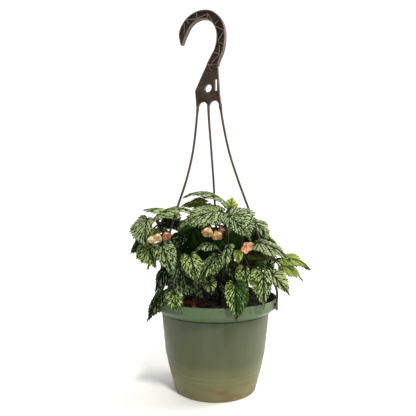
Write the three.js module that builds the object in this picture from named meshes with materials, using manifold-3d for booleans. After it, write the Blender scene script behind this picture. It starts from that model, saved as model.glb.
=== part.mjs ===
// A silver-leaved begonia in a moulded plastic hanging pot.
// Millimetres, +Z up. The origin is the centre of the pot's base, and the front of the plant faces -Y.
import * as THREE from 'three';
import { mergeVertices } from 'three/addons/utils/BufferGeometryUtils.js';
import Module from 'manifold-3d';

const wasm = await Module();
wasm.setup();

// Clearance left between neighbouring pieces.
const GAP = 0.3;

// Pot: a moulded shell. Its rim slopes in below to a small step, and its tapered wall starts there.
const POT_HEIGHT = 125;
const RIM_RADIUS = 84;
const RIM_SKIRT_RADIUS = 84.6;
const RIM_SKIRT_HEIGHT = 113.5;
const STEP_RADIUS = 75;
const STEP_HEIGHT = 106.2;
const NECK_RADIUS = 73.5;
const NECK_HEIGHT = 105.6;
const SHOULDER_RADIUS = 67.3;
const SHOULDER_HEIGHT = 49;
const FOOT_RADIUS = 61.3;
const FOOT_HEIGHT = 24;
const BASE_RADIUS = 55.5;
const WALL = 1.5;
const FLOOR = 2.4;
const POT_SIDES = 40;
const DRAIN_HOLES = 5;
const DRAIN_HOLE_RADIUS = 4;
const DRAIN_CIRCLE_RADIUS = 36;

// Soil: fills the pot to a lumpy top a little below the rim.
const SOIL_EDGE_HEIGHT = 115.5;
const SOIL_CROWN = 2.5;
const SOIL_LUMP = 1.3;
const SOIL_SIDES = 24;

// Hanger: hook and plate are moulded flat, in a plane turned about the pot's axis.
const HANGER_TURN = THREE.MathUtils.degToRad(28);
const HANGER_CENTRE_X = -8;
const FLANGE_DEPTH = 6.4;
const FLANGE_THICKNESS = 1.6;
const WEB_DEPTH = 2.4;
const PLATE_DEPTH = 3.6;
const HOOK_TOP = 519.4;
const PLATE_FOOT_HEIGHT = 380;
const STRAND_RADIUS = 1.7;
const STRAND_SIDES = 6;
const FOOT_CENTRE_RADIUS = 86.7;
const TAB_WIDTH = 5;
const TAB_DEPTH = 2.6;
const TAB_LENGTH = 14;
const PEG_HEIGHT = 119;
const PEG_RADIUS = 1.6;
const PEG_HOLE_RADIUS = 2.1;
const PEG_HEAD_RADIUS = 2.7;

// Plant: canes stand in holes in the soil, and stalks carry the leaves and blooms.
const CANE_RADIUS = 2.6;
const CANE_SIDES = 6;
const KNUCKLE_SWELL = 0.35;
const KNUCKLE_SPACING = 32;
const CANE_FOOT_HEIGHT = 95;
const CANE_SOIL_HEIGHT = 121;
const STALK_RADIUS = 1.3;
const STALK_SIDES = 4;
const LONG_STALK = 18;
const PEDICEL_RADIUS = 0.8;
const BLADE_THICKNESS = 0.85;
const PETAL_THICKNESS = 0.8;

// A closed geometry as a solid: its shared points are merged, and slivers of no area are dropped.
function solid(geometry) {
  const bare = geometry.clone();
  bare.deleteAttribute('normal');
  bare.deleteAttribute('uv');
  const merged = mergeVertices(bare, 1e-4);
  const corners = merged.index.array;
  const kept = [];
  for (let i = 0; i < corners.length; i += 3) {
    const [a, b, c] = [corners[i], corners[i + 1], corners[i + 2]];
    if (a !== b && b !== c && c !== a) kept.push(a, b, c);
  }
  return new wasm.Manifold(new wasm.Mesh({
    numProp: 3,
    vertProperties: merged.attributes.position.array,
    triVerts: new Uint32Array(kept),
  }));
}

function fuse(solids) {
  return wasm.Manifold.union(solids);
}

// A solid as a named mesh with its own material.
function meshOf(name, body, colour, roughness) {
  const { vertProperties, triVerts } = body.getMesh();
  const geometry = new THREE.BufferGeometry();
  geometry.setAttribute('position', new THREE.BufferAttribute(vertProperties, 3));
  geometry.setIndex(new THREE.BufferAttribute(triVerts, 1));
  const material = new THREE.MeshStandardMaterial({ color: colour, roughness, metalness: 0 });
  const mesh = new THREE.Mesh(geometry, material);
  mesh.name = name;
  return mesh;
}

function vector([x, y, z]) {
  return new THREE.Vector3(x, y, z);
}

// A profile of [radius, height] points turned about the Z axis.
function turned(profile, sides) {
  const points = profile.map(([radius, height]) => new THREE.Vector2(radius, height));
  return new THREE.LatheGeometry(points, sides).rotateX(Math.PI / 2);
}

function cylinder(radius, height, sides, tipRadius = radius) {
  return new THREE.CylinderGeometry(tipRadius, radius, height, sides);
}

// A round rod along a smooth curve through the given points. widthAt gives each ring's share of the
// radius, from the ring's number and its centre.
function rod(points, radius, sides, steps, widthAt = () => 1) {
  const section = new THREE.Shape(
    Array.from({ length: sides }, (_, i) => {
      const angle = (2 * Math.PI * i) / sides;
      return new THREE.Vector2(radius * Math.cos(angle), radius * Math.sin(angle));
    }),
  );
  const path = new THREE.CatmullRomCurve3(points);
  const geometry = new THREE.ExtrudeGeometry(section, { steps, extrudePath: path });
  const centres = path.getSpacedPoints(steps);
  const position = geometry.attributes.position;
  for (let i = 0; i < position.count; i += 1) {
    const corner = new THREE.Vector3().fromBufferAttribute(position, i);
    const away = centres.map((centre) => centre.distanceTo(corner));
    const ring = away.indexOf(Math.min(...away));
    const centre = centres[ring];
    corner.sub(centre).multiplyScalar(widthAt(ring, centre)).add(centre);
    position.setXYZ(i, corner.x, corner.y, corner.z);
  }
  return solid(geometry);
}

// Pot

const OUTER_WALL = [
  [0, 0],
  [BASE_RADIUS - 1.7, 0],
  [BASE_RADIUS, 1.7],
  [FOOT_RADIUS, FOOT_HEIGHT],
  [SHOULDER_RADIUS, SHOULDER_HEIGHT],
  [NECK_RADIUS, NECK_HEIGHT],
  [STEP_RADIUS, STEP_HEIGHT],
  [RIM_SKIRT_RADIUS, RIM_SKIRT_HEIGHT],
  [RIM_RADIUS, POT_HEIGHT],
];

const INNER_WALL = [
  [0, FLOOR],
  [BASE_RADIUS - WALL, FLOOR],
  [FOOT_RADIUS - WALL, FOOT_HEIGHT],
  [SHOULDER_RADIUS - WALL, SHOULDER_HEIGHT],
  [NECK_RADIUS - WALL, NECK_HEIGHT + WALL],
  [RIM_SKIRT_RADIUS - WALL, RIM_SKIRT_HEIGHT + WALL],
  [RIM_RADIUS - WALL, POT_HEIGHT],
];

// A short solid rod that points outwards from the pot's axis at a bearing, centred at a radius.
function radialRod(bearing, radius, height, rodRadius, length, sides, tipRadius) {
  return solid(
    cylinder(rodRadius, length, sides, tipRadius)
      .rotateZ(Math.PI / 2)
      .translate(radius, 0, height)
      .rotateZ(bearing),
  );
}

function potSolid(footBearings) {
  let body = solid(turned([...OUTER_WALL, ...INNER_WALL.toReversed()], POT_SIDES));
  for (let i = 0; i < DRAIN_HOLES; i += 1) {
    const drain = cylinder(DRAIN_HOLE_RADIUS, 4 * FLOOR, 8)
      .rotateX(Math.PI / 2)
      .translate(DRAIN_CIRCLE_RADIUS, 0, 0)
      .rotateZ((2 * Math.PI * i) / DRAIN_HOLES);
    body = body.subtract(solid(drain));
  }
  for (const bearing of footBearings) {
    body = body.subtract(radialRod(bearing, RIM_RADIUS, PEG_HEIGHT, PEG_HOLE_RADIUS, 8, 8));
  }
  return body;
}

// Soil

// Height of the soil's top at a point, domed in the middle and lumpy all over.
function soilTop(x, y) {
  const reach = Math.hypot(x, y) / RIM_RADIUS;
  const crown = SOIL_CROWN * (1 - reach * reach);
  const lumps = Math.sin(0.21 * x + 1.3) * Math.cos(0.17 * y) + 0.7 * Math.sin(0.13 * x - 0.29 * y);
  return SOIL_EDGE_HEIGHT + crown + SOIL_LUMP * lumps * (1 - reach ** 4);
}

function soilSolid(caneFeet) {
  const clear = 2 * GAP;
  const wall = INNER_WALL.slice(1, 6).map(([radius, height]) => [radius - clear, height]);
  wall[0][1] += GAP;
  const topRadii = [RIM_RADIUS - WALL - clear, 60, 44, 26, 0];
  const profile = [[0, FLOOR + GAP], ...wall, ...topRadii.map((radius) => [radius, SOIL_EDGE_HEIGHT])];
  const geometry = turned(profile, SOIL_SIDES);
  const position = geometry.attributes.position;
  for (let i = 0; i < position.count; i += 1) {
    if (position.getZ(i) > SOIL_EDGE_HEIGHT - 0.1) {
      position.setZ(i, soilTop(position.getX(i), position.getY(i)));
    }
  }
  let body = solid(geometry);
  const holeDepth = 40;
  for (const [x, y] of caneFeet) {
    const hole = cylinder(CANE_RADIUS + 3 * GAP, holeDepth, 8)
      .rotateX(Math.PI / 2)
      .translate(x, y, CANE_FOOT_HEIGHT - GAP + holeDepth / 2);
    body = body.subtract(solid(hole));
  }
  return body;
}

// Hanger

// Middle line of the hook from its tip, over the top and down the neck: [across, height, half width].
const HOOK_LINE = [
  [-43.6, 476.5, 1.4],
  [-43, 483.5, 3.8],
  [-41.2, 493, 6.6],
  [-34.5, 504, 6.9],
  [-24, 511, 6.6],
  [-11, HOOK_TOP - 6.4, 6.4],
  [2, 509.5, 6.4],
  [12.5, 499.5, 6.4],
  [17.8, 487, 6.4],
  [18.4, 474, 6.5],
  [15.6, 460.5, 6.9],
  [9.5, 449, 7.5],
  [4.8, 440, 8.3],
];

// Outline of the plate, [across, height], anticlockwise from the foot of its left edge.
const PLATE_OUTLINE = [
  [-19.8, PLATE_FOOT_HEIGHT],
  [19.4, PLATE_FOOT_HEIGHT],
  [16.3, 399],
  [14.7, 419.5],
  [13.2, 442],
  [-4, 442],
  [-14, 424],
  [-22, 408.5],
  [-20.6, 393],
];

const PLATE_HOLE = { across: -1.2, height: 410, radius: 5.5 };
const PLATE_SLOT = { across: 10.6, height: 413, width: 3.4, length: 16 };
const ARCH_TOP = 392;
const ARCHES = [
  { across: -9.9, width: 14.2 },
  { across: 7.6, width: 15 },
];

// Thin ribs across the recess of the hook and plate, each between two [across, height] ends.
const RIBS = [
  [[-46, 494], [-29, 503]],
  [[-26, 504], [-22, 517]],
  [[-15, 506], [-7, 519]],
  [[-7, 519], [4, 502]],
  [[4, 502], [17, 500]],
  [[17, 500], [11, 488]],
  [[11, 488], [24, 482]],
  [[24, 482], [12, 472]],
  [[12, 472], [24, 469]],
  [[9, 461], [20, 456]],
  [[-3, 443], [15, 440]],
];

// Strand routes from the plate's foot down to just outside the rim.
const STRANDS = [
  {
    bearing: THREE.MathUtils.degToRad(213),
    route: [[-24.3, 8.7, 386], [-25.2, 7, 374], [-30.4, -2.2, 324], [-39.2, -11, 283], [-49.8, -18.5, 249],
      [-60, -26, 214], [-70.4, -38, 165]],
  },
  {
    bearing: THREE.MathUtils.degToRad(-23.5),
    route: [[7, -8, 386], [8.2, -8.8, 374], [17.9, -13.9, 323], [30.4, -18.4, 282], [43.6, -22.4, 245],
      [55.2, -26, 211], [73, -32.3, 154]],
  },
  {
    bearing: THREE.MathUtils.degToRad(86),
    route: [[-9.2, 0.8, 386], [-9, 2.5, 374], [-5.4, 18, 328], [-2, 33, 285], [0.2, 45, 250],
      [3, 60, 205], [5.4, 78.5, 153]],
  },
];

// A flat ribbon of varying width along a middle line, as a shape.
function ribbon(line, narrower) {
  const middle = new THREE.SplineCurve(line.map(([x, y]) => new THREE.Vector2(x, y)));
  const widths = new THREE.SplineCurve(line.map(([, , half], i) => new THREE.Vector2(i, half)));
  const steps = line.length + 5;
  const left = [];
  const right = [];
  for (let i = 0; i <= steps; i += 1) {
    const t = i / steps;
    const along = middle.getTangent(t);
    const half = Math.max(widths.getPoint(t).y - narrower, 0.3);
    const centre = middle.getPoint(t);
    left.push(new THREE.Vector2(centre.x - along.y * half, centre.y + along.x * half));
    right.push(new THREE.Vector2(centre.x + along.y * half, centre.y - along.x * half));
  }
  return new THREE.Shape([...right, ...left.toReversed()]);
}

// A shape made as thick as depth, centred on its own plane.
function slab(shape, depth) {
  const geometry = new THREE.ExtrudeGeometry(shape, { depth, bevelEnabled: false, curveSegments: 6 });
  return solid(geometry.translate(0, 0, -depth / 2));
}

function rectangle(centreX, centreY, width, height) {
  return new THREE.Shape([
    new THREE.Vector2(centreX - width / 2, centreY - height / 2),
    new THREE.Vector2(centreX + width / 2, centreY - height / 2),
    new THREE.Vector2(centreX + width / 2, centreY + height / 2),
    new THREE.Vector2(centreX - width / 2, centreY + height / 2),
  ]);
}

function disc(centreX, centreY, radius) {
  const circle = new THREE.Shape();
  circle.absarc(centreX, centreY, radius, 0, 2 * Math.PI);
  return circle;
}

function ribSolid([[x1, y1], [x2, y2]]) {
  const length = Math.hypot(x2 - x1, y2 - y1);
  const box = new THREE.BoxGeometry(length, 1.2, FLANGE_DEPTH - 0.6);
  box.rotateZ(Math.atan2(y2 - y1, x2 - x1)).translate((x1 + x2) / 2, (y1 + y2) / 2, 0);
  return solid(box);
}

function hookAndPlate() {
  const hook = slab(ribbon(HOOK_LINE, 0), FLANGE_DEPTH);
  const plate = slab(new THREE.Shape(PLATE_OUTLINE.map(([x, y]) => new THREE.Vector2(x, y))), PLATE_DEPTH);
  const recessDepth = (FLANGE_DEPTH - WEB_DEPTH) / 2 + 1;
  const recess = slab(ribbon(HOOK_LINE, FLANGE_THICKNESS), recessDepth);
  const lift = (WEB_DEPTH + recessDepth) / 2;
  const web = hook.subtract(fuse([recess.translate(0, 0, lift), recess.translate(0, 0, -lift)]));
  const ribs = fuse(RIBS.map(ribSolid)).intersect(hook);
  const body = fuse([web, ribs, plate]);
  const { across: slotX, height: slotZ, width: slotWidth, length: slotLength } = PLATE_SLOT;
  const through = 2 * FLANGE_DEPTH;
  const cuts = [
    slab(disc(PLATE_HOLE.across, PLATE_HOLE.height, PLATE_HOLE.radius), through),
    slab(rectangle(slotX, slotZ, slotWidth, slotLength), through),
  ];
  for (const { across: archX, width } of ARCHES) {
    const straight = ARCH_TOP - width / 2;
    cuts.push(slab(disc(archX, straight, width / 2), through));
    cuts.push(slab(rectangle(archX, straight - 20, width, 40), through));
  }
  const flat = body.subtract(fuse(cuts));
  const across = new THREE.Vector3(Math.cos(HANGER_TURN), -Math.sin(HANGER_TURN), 0);
  const up = new THREE.Vector3(0, 0, 1);
  const facing = new THREE.Vector3().crossVectors(across, up);
  const place = new THREE.Matrix4().makeBasis(across, up, facing);
  place.setPosition(HANGER_CENTRE_X, 0, 0);
  return flat.transform(place.elements);
}

// One strand with its foot: a tab outside the rim and a headed peg through the rim's hole.
function strandSolid({ bearing, route }) {
  const footX = FOOT_CENTRE_RADIUS * Math.cos(bearing);
  const footY = FOOT_CENTRE_RADIUS * Math.sin(bearing);
  const points = [...route.map(vector), vector([footX, footY, 138]), vector([footX, footY, 122])];
  const tab = new THREE.BoxGeometry(TAB_DEPTH, TAB_WIDTH, TAB_LENGTH)
    .translate(FOOT_CENTRE_RADIUS, 0, PEG_HEIGHT)
    .rotateZ(bearing);
  const innerFace = RIM_RADIUS - WALL - 2 * GAP;
  const headLength = 1.8;
  return fuse([
    rod(points, STRAND_RADIUS, STRAND_SIDES, 12),
    solid(tab),
    radialRod(bearing, FOOT_CENTRE_RADIUS - 3, PEG_HEIGHT, PEG_RADIUS, 7, 6),
    radialRod(bearing, innerFace - headLength / 2, PEG_HEIGHT, PEG_HEAD_RADIUS, headLength, 6, PEG_RADIUS),
  ]);
}

function hangerSolid() {
  return fuse([hookAndPlate(), ...STRANDS.map(strandSolid)]);
}

// Leaves, petals and stalks

// Half of a blade's outline from its tip round to its base: [share of length, share of half width].
const LEAF_EDGE = [
  [1, 0], [0.92, 0.08], [0.82, 0.24], [0.68, 0.53], [0.51, 0.83], [0.32, 0.99], [0.11, 0.98],
  [-0.07, 0.81], [-0.16, 0.5], [-0.12, 0.2], [0, 0],
];
const TAILED_EDGE = [
  [1, 0], [0.88, 0.05], [0.76, 0.14], [0.64, 0.45], [0.46, 0.85], [0.26, 1], [0.08, 0.9],
  [-0.03, 0.55], [0, 0],
];
const PETAL_EDGE = [
  [1, 0], [0.97, 0.4], [0.8, 0.82], [0.55, 1], [0.28, 0.8], [0.08, 0.4], [0, 0],
];

// A thin blade with veins that fan from its base and midrib. Veins are sunk and end in teeth, and the
// blade swells between them. It arches along its length, and its halves slope away from the midrib.
function bladeSolid(shape) {
  const { base, tip, face, wide, arch, cup, edge, columns, rings, midrib, tooth, relief, thickness } = shape;
  const along = new THREE.Vector3().subVectors(tip, base);
  const length = along.length();
  along.normalize();
  const up = face.clone().addScaledVector(along, -face.dot(along)).normalize();
  const side = new THREE.Vector3().crossVectors(up, along);
  const outline = new THREE.SplineCurve(edge.map(([u, v]) => new THREE.Vector2(u, v)));
  const lobes = wide.map((half) => (2 * half) / (wide[0] + wide[1]));
  const triangles = [];

  // A point of one half: column 0 is the tip's rib, the last the notch at the stalk, and the last ring
  // the edge.
  function point(half, column, ring) {
    const t = column / columns;
    const isVein = column % 2 === 0 || column === columns;
    const end = outline.getPoint(t);
    if (column > 0 && column < columns) end.multiplyScalar(isVein ? 1 + tooth : 1 - tooth);
    const start = midrib * Math.max(0, 1 - t / 0.5);
    const r = ring / rings;
    if (end.x < 0) end.x *= lobes[half];
    const u = start + (end.x - start) * r;
    const v = end.y * r;
    const across = v * wide[half];
    const swell = ring === 0 || isVein ? 0 : relief * (ring < rings ? 1 : 0.5);
    const bow = u > 0 ? 4 * arch * u * (1 - u) : 4 * arch * u;
    return [u * length, half === 0 ? across : -across, bow - cup * across + swell];
  }

  function corner([u, v, w]) {
    const place = base.clone().addScaledVector(along, u).addScaledVector(side, v);
    return place.addScaledVector(up, w);
  }

  function addTriangle(a, b, c, half) {
    const same = (p, q) => Math.hypot(p[0] - q[0], p[1] - q[1]) < 1e-6;
    if (same(a, b) || same(b, c) || same(c, a)) return;
    const order = half === 0 ? [a, b, c] : [a, c, b];
    const raise = ([u, v, w], lift) => corner([u, v, w + lift]);
    const upper = order.map((p) => raise(p, thickness / 2));
    const lower = order.map((p) => raise(p, -thickness / 2)).toReversed();
    triangles.push(...upper, ...lower);
  }

  for (const half of [0, 1]) {
    for (let column = 0; column < columns; column += 1) {
      for (let ring = 0; ring < rings; ring += 1) {
        const a = point(half, column, ring);
        const b = point(half, column, ring + 1);
        const c = point(half, column + 1, ring + 1);
        const d = point(half, column + 1, ring);
        addTriangle(a, b, c, half);
        addTriangle(a, c, d, half);
      }
      const [p, q] = [point(half, column, rings), point(half, column + 1, rings)];
      const [from, to] = half === 0 ? [p, q] : [q, p];
      const [fromTop, toTop] = [from, to].map(([u, v, w]) => corner([u, v, w + thickness / 2]));
      const [fromLow, toLow] = [from, to].map(([u, v, w]) => corner([u, v, w - thickness / 2]));
      triangles.push(fromTop, fromLow, toLow, fromTop, toLow, toTop);
    }
  }
  return solid(new THREE.BufferGeometry().setFromPoints(triangles));
}

const LEAF = {
  arch: 4, cup: 0.2, edge: LEAF_EDGE, columns: 6, rings: 2, midrib: 0.58, tooth: 0.035, relief: 1.3,
  thickness: BLADE_THICKNESS,
};
const PETAL = {
  arch: 1, cup: 0, edge: PETAL_EDGE, columns: 3, rings: 1, midrib: 0, tooth: 0, relief: 0.3,
  thickness: PETAL_THICKNESS,
};

function leafSolid(leaf) {
  const shape = { ...LEAF, ...leaf };
  shape.base = vector(leaf.base);
  shape.tip = vector(leaf.tip);
  shape.face = vector(leaf.face);
  return bladeSolid(shape);
}

// The stalk of a leaf, from the cane out and over to the underside of the blade's base.
function stalkSolid(root, leaf) {
  const { arch } = { ...LEAF, ...leaf };
  const base = vector(leaf.base);
  const midrib = vector(leaf.tip).sub(base);
  const share = 1.2 / midrib.length();
  const middle = root.clone().lerp(base, 0.5);
  middle.z += 0.08 * root.distanceTo(base);
  const end = base.clone().addScaledVector(midrib, share);
  end.addScaledVector(vector(leaf.face).normalize(), 3.2 * arch * share);
  const steps = root.distanceTo(base) > LONG_STALK ? 3 : 2;
  return rod([root, middle, end], STALK_RADIUS, STALK_SIDES, steps, (ring) => (ring === steps ? 0.3 : 1));
}

// One bloom: petals round a face direction on a small cup, with a knob of stamens in the middle.
function bloomSolid({ centre, face, petals, size, open, turn, knob }) {
  const middle = vector(centre);
  const axis = vector(face).normalize();
  const level = Math.abs(axis.z) > 0.9 ? new THREE.Vector3(1, 0, 0) : new THREE.Vector3(0, 0, 1);
  const across = new THREE.Vector3().crossVectors(axis, level).normalize();
  const pieces = [];
  petals.forEach(([bearing, length, width]) => {
    const angle = THREE.MathUtils.degToRad(bearing + turn);
    const outwards = across.clone().applyAxisAngle(axis, angle);
    const reach = outwards.clone().multiplyScalar(open).addScaledVector(axis, 1 - open).normalize();
    const base = middle.clone().addScaledVector(outwards, 0.9).addScaledVector(axis, width < 0.7 ? 0.9 : 0);
    pieces.push(bladeSolid({
      ...PETAL,
      base,
      tip: base.clone().addScaledVector(reach, length * size),
      face: axis.clone().addScaledVector(outwards, open - 1),
      wide: [(width * size) / 2, (width * size) / 2],
      arch: -0.12 * length * size,
    }));
  });
  const cup = cylinder(1.5, 3, 6, 2.2);
  const stand = new THREE.Quaternion().setFromUnitVectors(new THREE.Vector3(0, 1, 0), axis);
  const cupCentre = middle.clone().addScaledVector(axis, -0.9);
  pieces.push(solid(cup.applyQuaternion(stand).translate(...cupCentre.toArray())));
  const stamens = new THREE.OctahedronGeometry(knob, 0);
  const knobCentre = middle.clone().addScaledVector(axis, 0.8 + 0.4 * knob);
  pieces.push(solid(stamens.translate(...knobCentre.toArray())));
  return fuse(pieces);
}

// The thin stalk of a bloom, ending square to the cup behind its petals.
function pedicelSolid(root, { centre, face }) {
  const axis = vector(face).normalize();
  const end = vector(centre).addScaledVector(axis, -2.4 - GAP);
  const before = end.clone().addScaledVector(axis, -4);
  const middle = root.clone().lerp(before, 0.5);
  return rod([root, middle, before, end], PEDICEL_RADIUS, STALK_SIDES, 4);
}

// Each cane lists its route, its leaves and its blooms. A leaf or bloom leaves the cane at a share of
// its length. wide gives the blade's half widths: for a leaf that hangs down, right then left.
const CANES = [
  {
    name: 'cane_left',
    route: [[-38, -5, 121], [-47, -8, 178], [-64, -11, 201], [-80, -13, 230]],
    leaves: [
      { at: 0.97, base: [-90, -22, 230], tip: [-89, -38, 192],
        face: [-0.35, -0.85, 0.4], wide: [8, 26], arch: 5, columns: 8 },
      { at: 0.98, base: [-54, -3, 238], tip: [-99, -6, 241], face: [0, -0.4, 0.92], wide: [12, 16] },
      { at: 0.97, base: [-76, -27, 235], tip: [-26, -35, 238],
        face: [0, -0.45, 0.88], wide: [9, 14], arch: 8, columns: 8 },
      { at: 0.93, base: [-63, 4, 234], tip: [-52, -2, 212], face: [0.1, -1, 0.2], wide: [13, 14], arch: 3 },
      { at: 0.9, base: [-72, -20, 223], tip: [-61, -21, 217], face: [0, -0.8, 0.5], wide: [5, 5] },
      { at: 0.93, base: [-85, -28, 214], tip: [-86, -33, 191], face: [-0.7, -0.6, 0.2], wide: [6, 7] },
      { at: 0.8, base: [-95, -4, 202], tip: [-115, -12, 183], face: [-0.3, -0.9, 0.2], wide: [19, 9] },
      { at: 0.8, base: [-88, -27, 197], tip: [-76, -40, 166],
        face: [-0.2, -0.9, 0.35], wide: [8, 21], columns: 8 },
      { at: 0.82, base: [-70, -44, 198], tip: [-51, -74, 159],
        face: [0.05, -0.95, 0.35], wide: [15, 12], arch: 5, columns: 8 },
      { at: 0.55, base: [-47, -14, 208], tip: [-57, -26, 188], face: [-0.1, -0.9, 0.4], wide: [11, 11] },
    ],
    blooms: [
      { at: 0.93, centre: [-80, -46, 208], face: [-0.35, -0.4, -0.85], kind: 'cream', size: 8.5 },
      { at: 0.93, centre: [-73, -57, 211], face: [0.05, -0.75, -0.65], kind: 'cream', size: 8.5 },
      { at: 0.88, centre: [-64, -46, 212], face: [0.35, -0.75, -0.55], kind: 'coral', size: 8 },
    ],
  },
  {
    name: 'cane_centre',
    route: [[7, -5, 121], [13, -10, 170], [16, -13, 205], [13, -12, 230], [18, -12, 243]],
    leaves: [
      { at: 0.8, base: [17, -41, 234], tip: [43, -59, 204],
        face: [0.25, -0.9, 0.32], wide: [30, 12], cup: 0.1, columns: 8 },
      { at: 0.99, base: [21, -12, 246], tip: [23, -6, 260], face: [0, -0.85, 0.5], wide: [9, 9], arch: 1 },
      { at: 0.99, base: [15, 5, 252], tip: [-44, -6, 259],
        face: [0, -0.4, 0.92], wide: [13, 10], arch: 11, cup: 0.3, columns: 8 },
      { at: 0.9, base: [8, -20, 240], tip: [-49, -38, 217],
        face: [-0.05, -0.6, 0.8], wide: [23, 25], arch: 8, cup: 0.2, columns: 8 },
      { at: 0.7, base: [-2, -12, 215], tip: [-9, -21, 182], face: [0, -1, 0.2], wide: [15, 17] },
    ],
    blooms: [
      { at: 0.8, centre: [-8, -44, 219], face: [-0.35, -0.5, -0.8], kind: 'peach', size: 12 },
      { at: 0.8, centre: [0, -50, 214], face: [0.3, -0.6, -0.75], kind: 'peach', size: 10 },
      { at: 0.78, centre: [6, -37, 219], face: [0.4, -0.5, -0.75], kind: 'bud', size: 7 },
    ],
  },
  {
    name: 'cane_right',
    route: [[38, -2, 121], [40, -9, 168], [56, -19, 176], [80, -27, 177]],
    leaves: [
      { at: 0.95, base: [66, -43, 167], tip: [72, -39, 182], face: [0, -1, 0.2], wide: [8, 8], arch: 2 },
      { at: 0.99, base: [70, -53, 161], tip: [91, -65, 136],
        face: [0.15, -0.95, 0.3], wide: [14, 7], columns: 8 },
      { at: 0.55, base: [47, -36, 186], tip: [78, -48, 182], face: [0, -0.75, 0.66], wide: [9, 10] },
      { at: 0.99, base: [86, -30, 179], tip: [123, -40, 164],
        face: [0.2, -0.7, 0.7], wide: [12, 11], arch: 7, edge: TAILED_EDGE },
      { at: 0.99, base: [85, -37, 171], tip: [112, -46, 150],
        face: [0.3, -0.75, 0.55], wide: [11, 10], edge: TAILED_EDGE },
      { at: 0.99, base: [93, -18, 174], tip: [125, -20, 161],
        face: [0.1, -0.65, 0.75], wide: [5, 5], edge: TAILED_EDGE },
    ],
    blooms: [],
  },
  {
    name: 'cane_upper_right',
    route: [[28, 14, 121], [34, 4, 165], [43, -5, 203], [45, -8, 217]],
    leaves: [
      { at: 0.68, base: [55, -41, 200], tip: [93, -56, 178],
        face: [0.1, -0.65, 0.75], wide: [12, 13], arch: 6, cup: 0.3, columns: 8 },
      { at: 0.8, base: [53, -14, 208], tip: [73, -20, 185], face: [0.1, -1, 0.1], wide: [15, 15] },
      { at: 0.74, base: [50, -35, 226], tip: [67, -47, 201],
        face: [0.3, -0.8, 0.5], wide: [15, 6], columns: 8 },
      { at: 0.55, base: [40, 12, 216], tip: [38, 8, 166],
        face: [0, -1, 0.1], wide: [18, 19], columns: 4 },
    ],
    blooms: [
      { at: 0.8, centre: [37, -55, 197], face: [0.45, -0.8, -0.4], kind: 'opening', size: 9 },
    ],
  },
  {
    name: 'cane_front_left',
    route: [[-33, -22, 121], [-34, -33, 150], [-37, -40, 176]],
    leaves: [
      { at: 0.95, base: [-48, -52, 171], tip: [-16, -66, 135],
        face: [-0.05, -1, 0.05], wide: [20, 28], columns: 8 },
      { at: 0.97, base: [-32, -61, 185], tip: [-23, -79, 152],
        face: [0.1, -0.9, 0.45], wide: [12, 13], columns: 8 },
      { at: 0.06, base: [-51, -74, 141], tip: [-46, -90, 121],
        face: [0, -0.8, 0.6], wide: [10, 12], arch: 2 },
      { at: 0.06, base: [-66, -65, 142], tip: [-86, -60, 102],
        face: [-0.3, -0.9, 0.3], wide: [9, 10], cup: 0.7 },
      { at: 0.8, base: [-64, -45, 168], tip: [-76, -53, 138], face: [-0.4, -0.85, 0], wide: [9, 7] },
    ],
    blooms: [],
  },
  {
    name: 'cane_front',
    route: [[6, -31, 121], [7, -36, 150], [10, -38, 184]],
    leaves: [
      { at: 0.9, base: [1, -50, 184], tip: [-21, -80, 154],
        face: [-0.1, -0.85, 0.6], wide: [15, 9], columns: 8 },
      { at: 0.6, base: [-9, -54, 155], tip: [-5, -63, 136], face: [0, -1, 0.2], wide: [9, 10], arch: 2 },
      { at: 0.3, base: [11, -44, 149], tip: [13, -49, 132], face: [0, -1, 0.2], wide: [7, 7], arch: 2 },
      { at: 0.99, base: [16, -47, 195], tip: [14, -62, 168], face: [-0.6, -0.7, 0.3], wide: [9, 8] },
      { at: 0.7, base: [17, -50, 171], tip: [22, -58, 151], face: [0.6, -0.7, 0.3], wide: [5, 8], arch: 2 },
      { at: 0.97, base: [-3, -32, 196], tip: [-27, -46, 188], face: [-0.1, -0.5, 0.85], wide: [11, 9] },
    ],
    blooms: [],
  },
  {
    name: 'cane_front_right',
    route: [[33, -33, 121], [36, -42, 150], [42, -50, 172]],
    leaves: [
      { at: 0.97, base: [28, -54, 192], tip: [27, -61, 170],
        face: [0, -1, 0.2], wide: [6, 6], cup: 0.4, edge: TAILED_EDGE },
      { at: 0.8, base: [36, -62, 170], tip: [40, -70, 144], face: [-0.2, -0.95, 0.3], wide: [5, 14] },
      { at: 0.97, base: [58, -62, 165], tip: [56, -82, 124],
        face: [0.05, -0.95, 0.4], wide: [11, 16], arch: 5, columns: 8 },
      { at: 0.1, base: [22, -80, 153], tip: [22, -100, 113],
        face: [0.1, -0.95, 0.3], wide: [17, 12], cup: 0.35, arch: 3, columns: 8 },
    ],
    blooms: [],
  },
  {
    name: 'cane_back',
    route: [[-4, 31, 121], [-8, 36, 170], [-14, 32, 215], [-15, 28, 238]],
    leaves: [
      { at: 0.99, base: [-15, 26, 253], tip: [-48, 20, 246], face: [0, 0.6, 0.8], wide: [11, 13], arch: 4 },
      { at: 0.9, base: [-6, 14, 247], tip: [-23, 9, 246], face: [0, 0.5, 0.85], wide: [6, 6], arch: 3 },
      { at: 0.85, base: [-28, 8, 220], tip: [-43, -3, 187], face: [0, -1, 0.1], wide: [23, 23] },
      { at: 0.8, base: [-10, 19, 212], tip: [-14, 8, 165], face: [0, -1, 0.1], wide: [24, 24], columns: 4 },
      { at: 0.7, base: [21, 28, 207], tip: [17, 18, 162],
        face: [0.1, -1, 0.1], wide: [22, 22], columns: 4 },
      { at: 0.35, base: [4, 13, 166], tip: [6, 4, 127], face: [0, -1, 0.1], wide: [23, 23], columns: 4 },
      { at: 0.95, base: [-20, 48, 226], tip: [-36, 78, 200],
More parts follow.
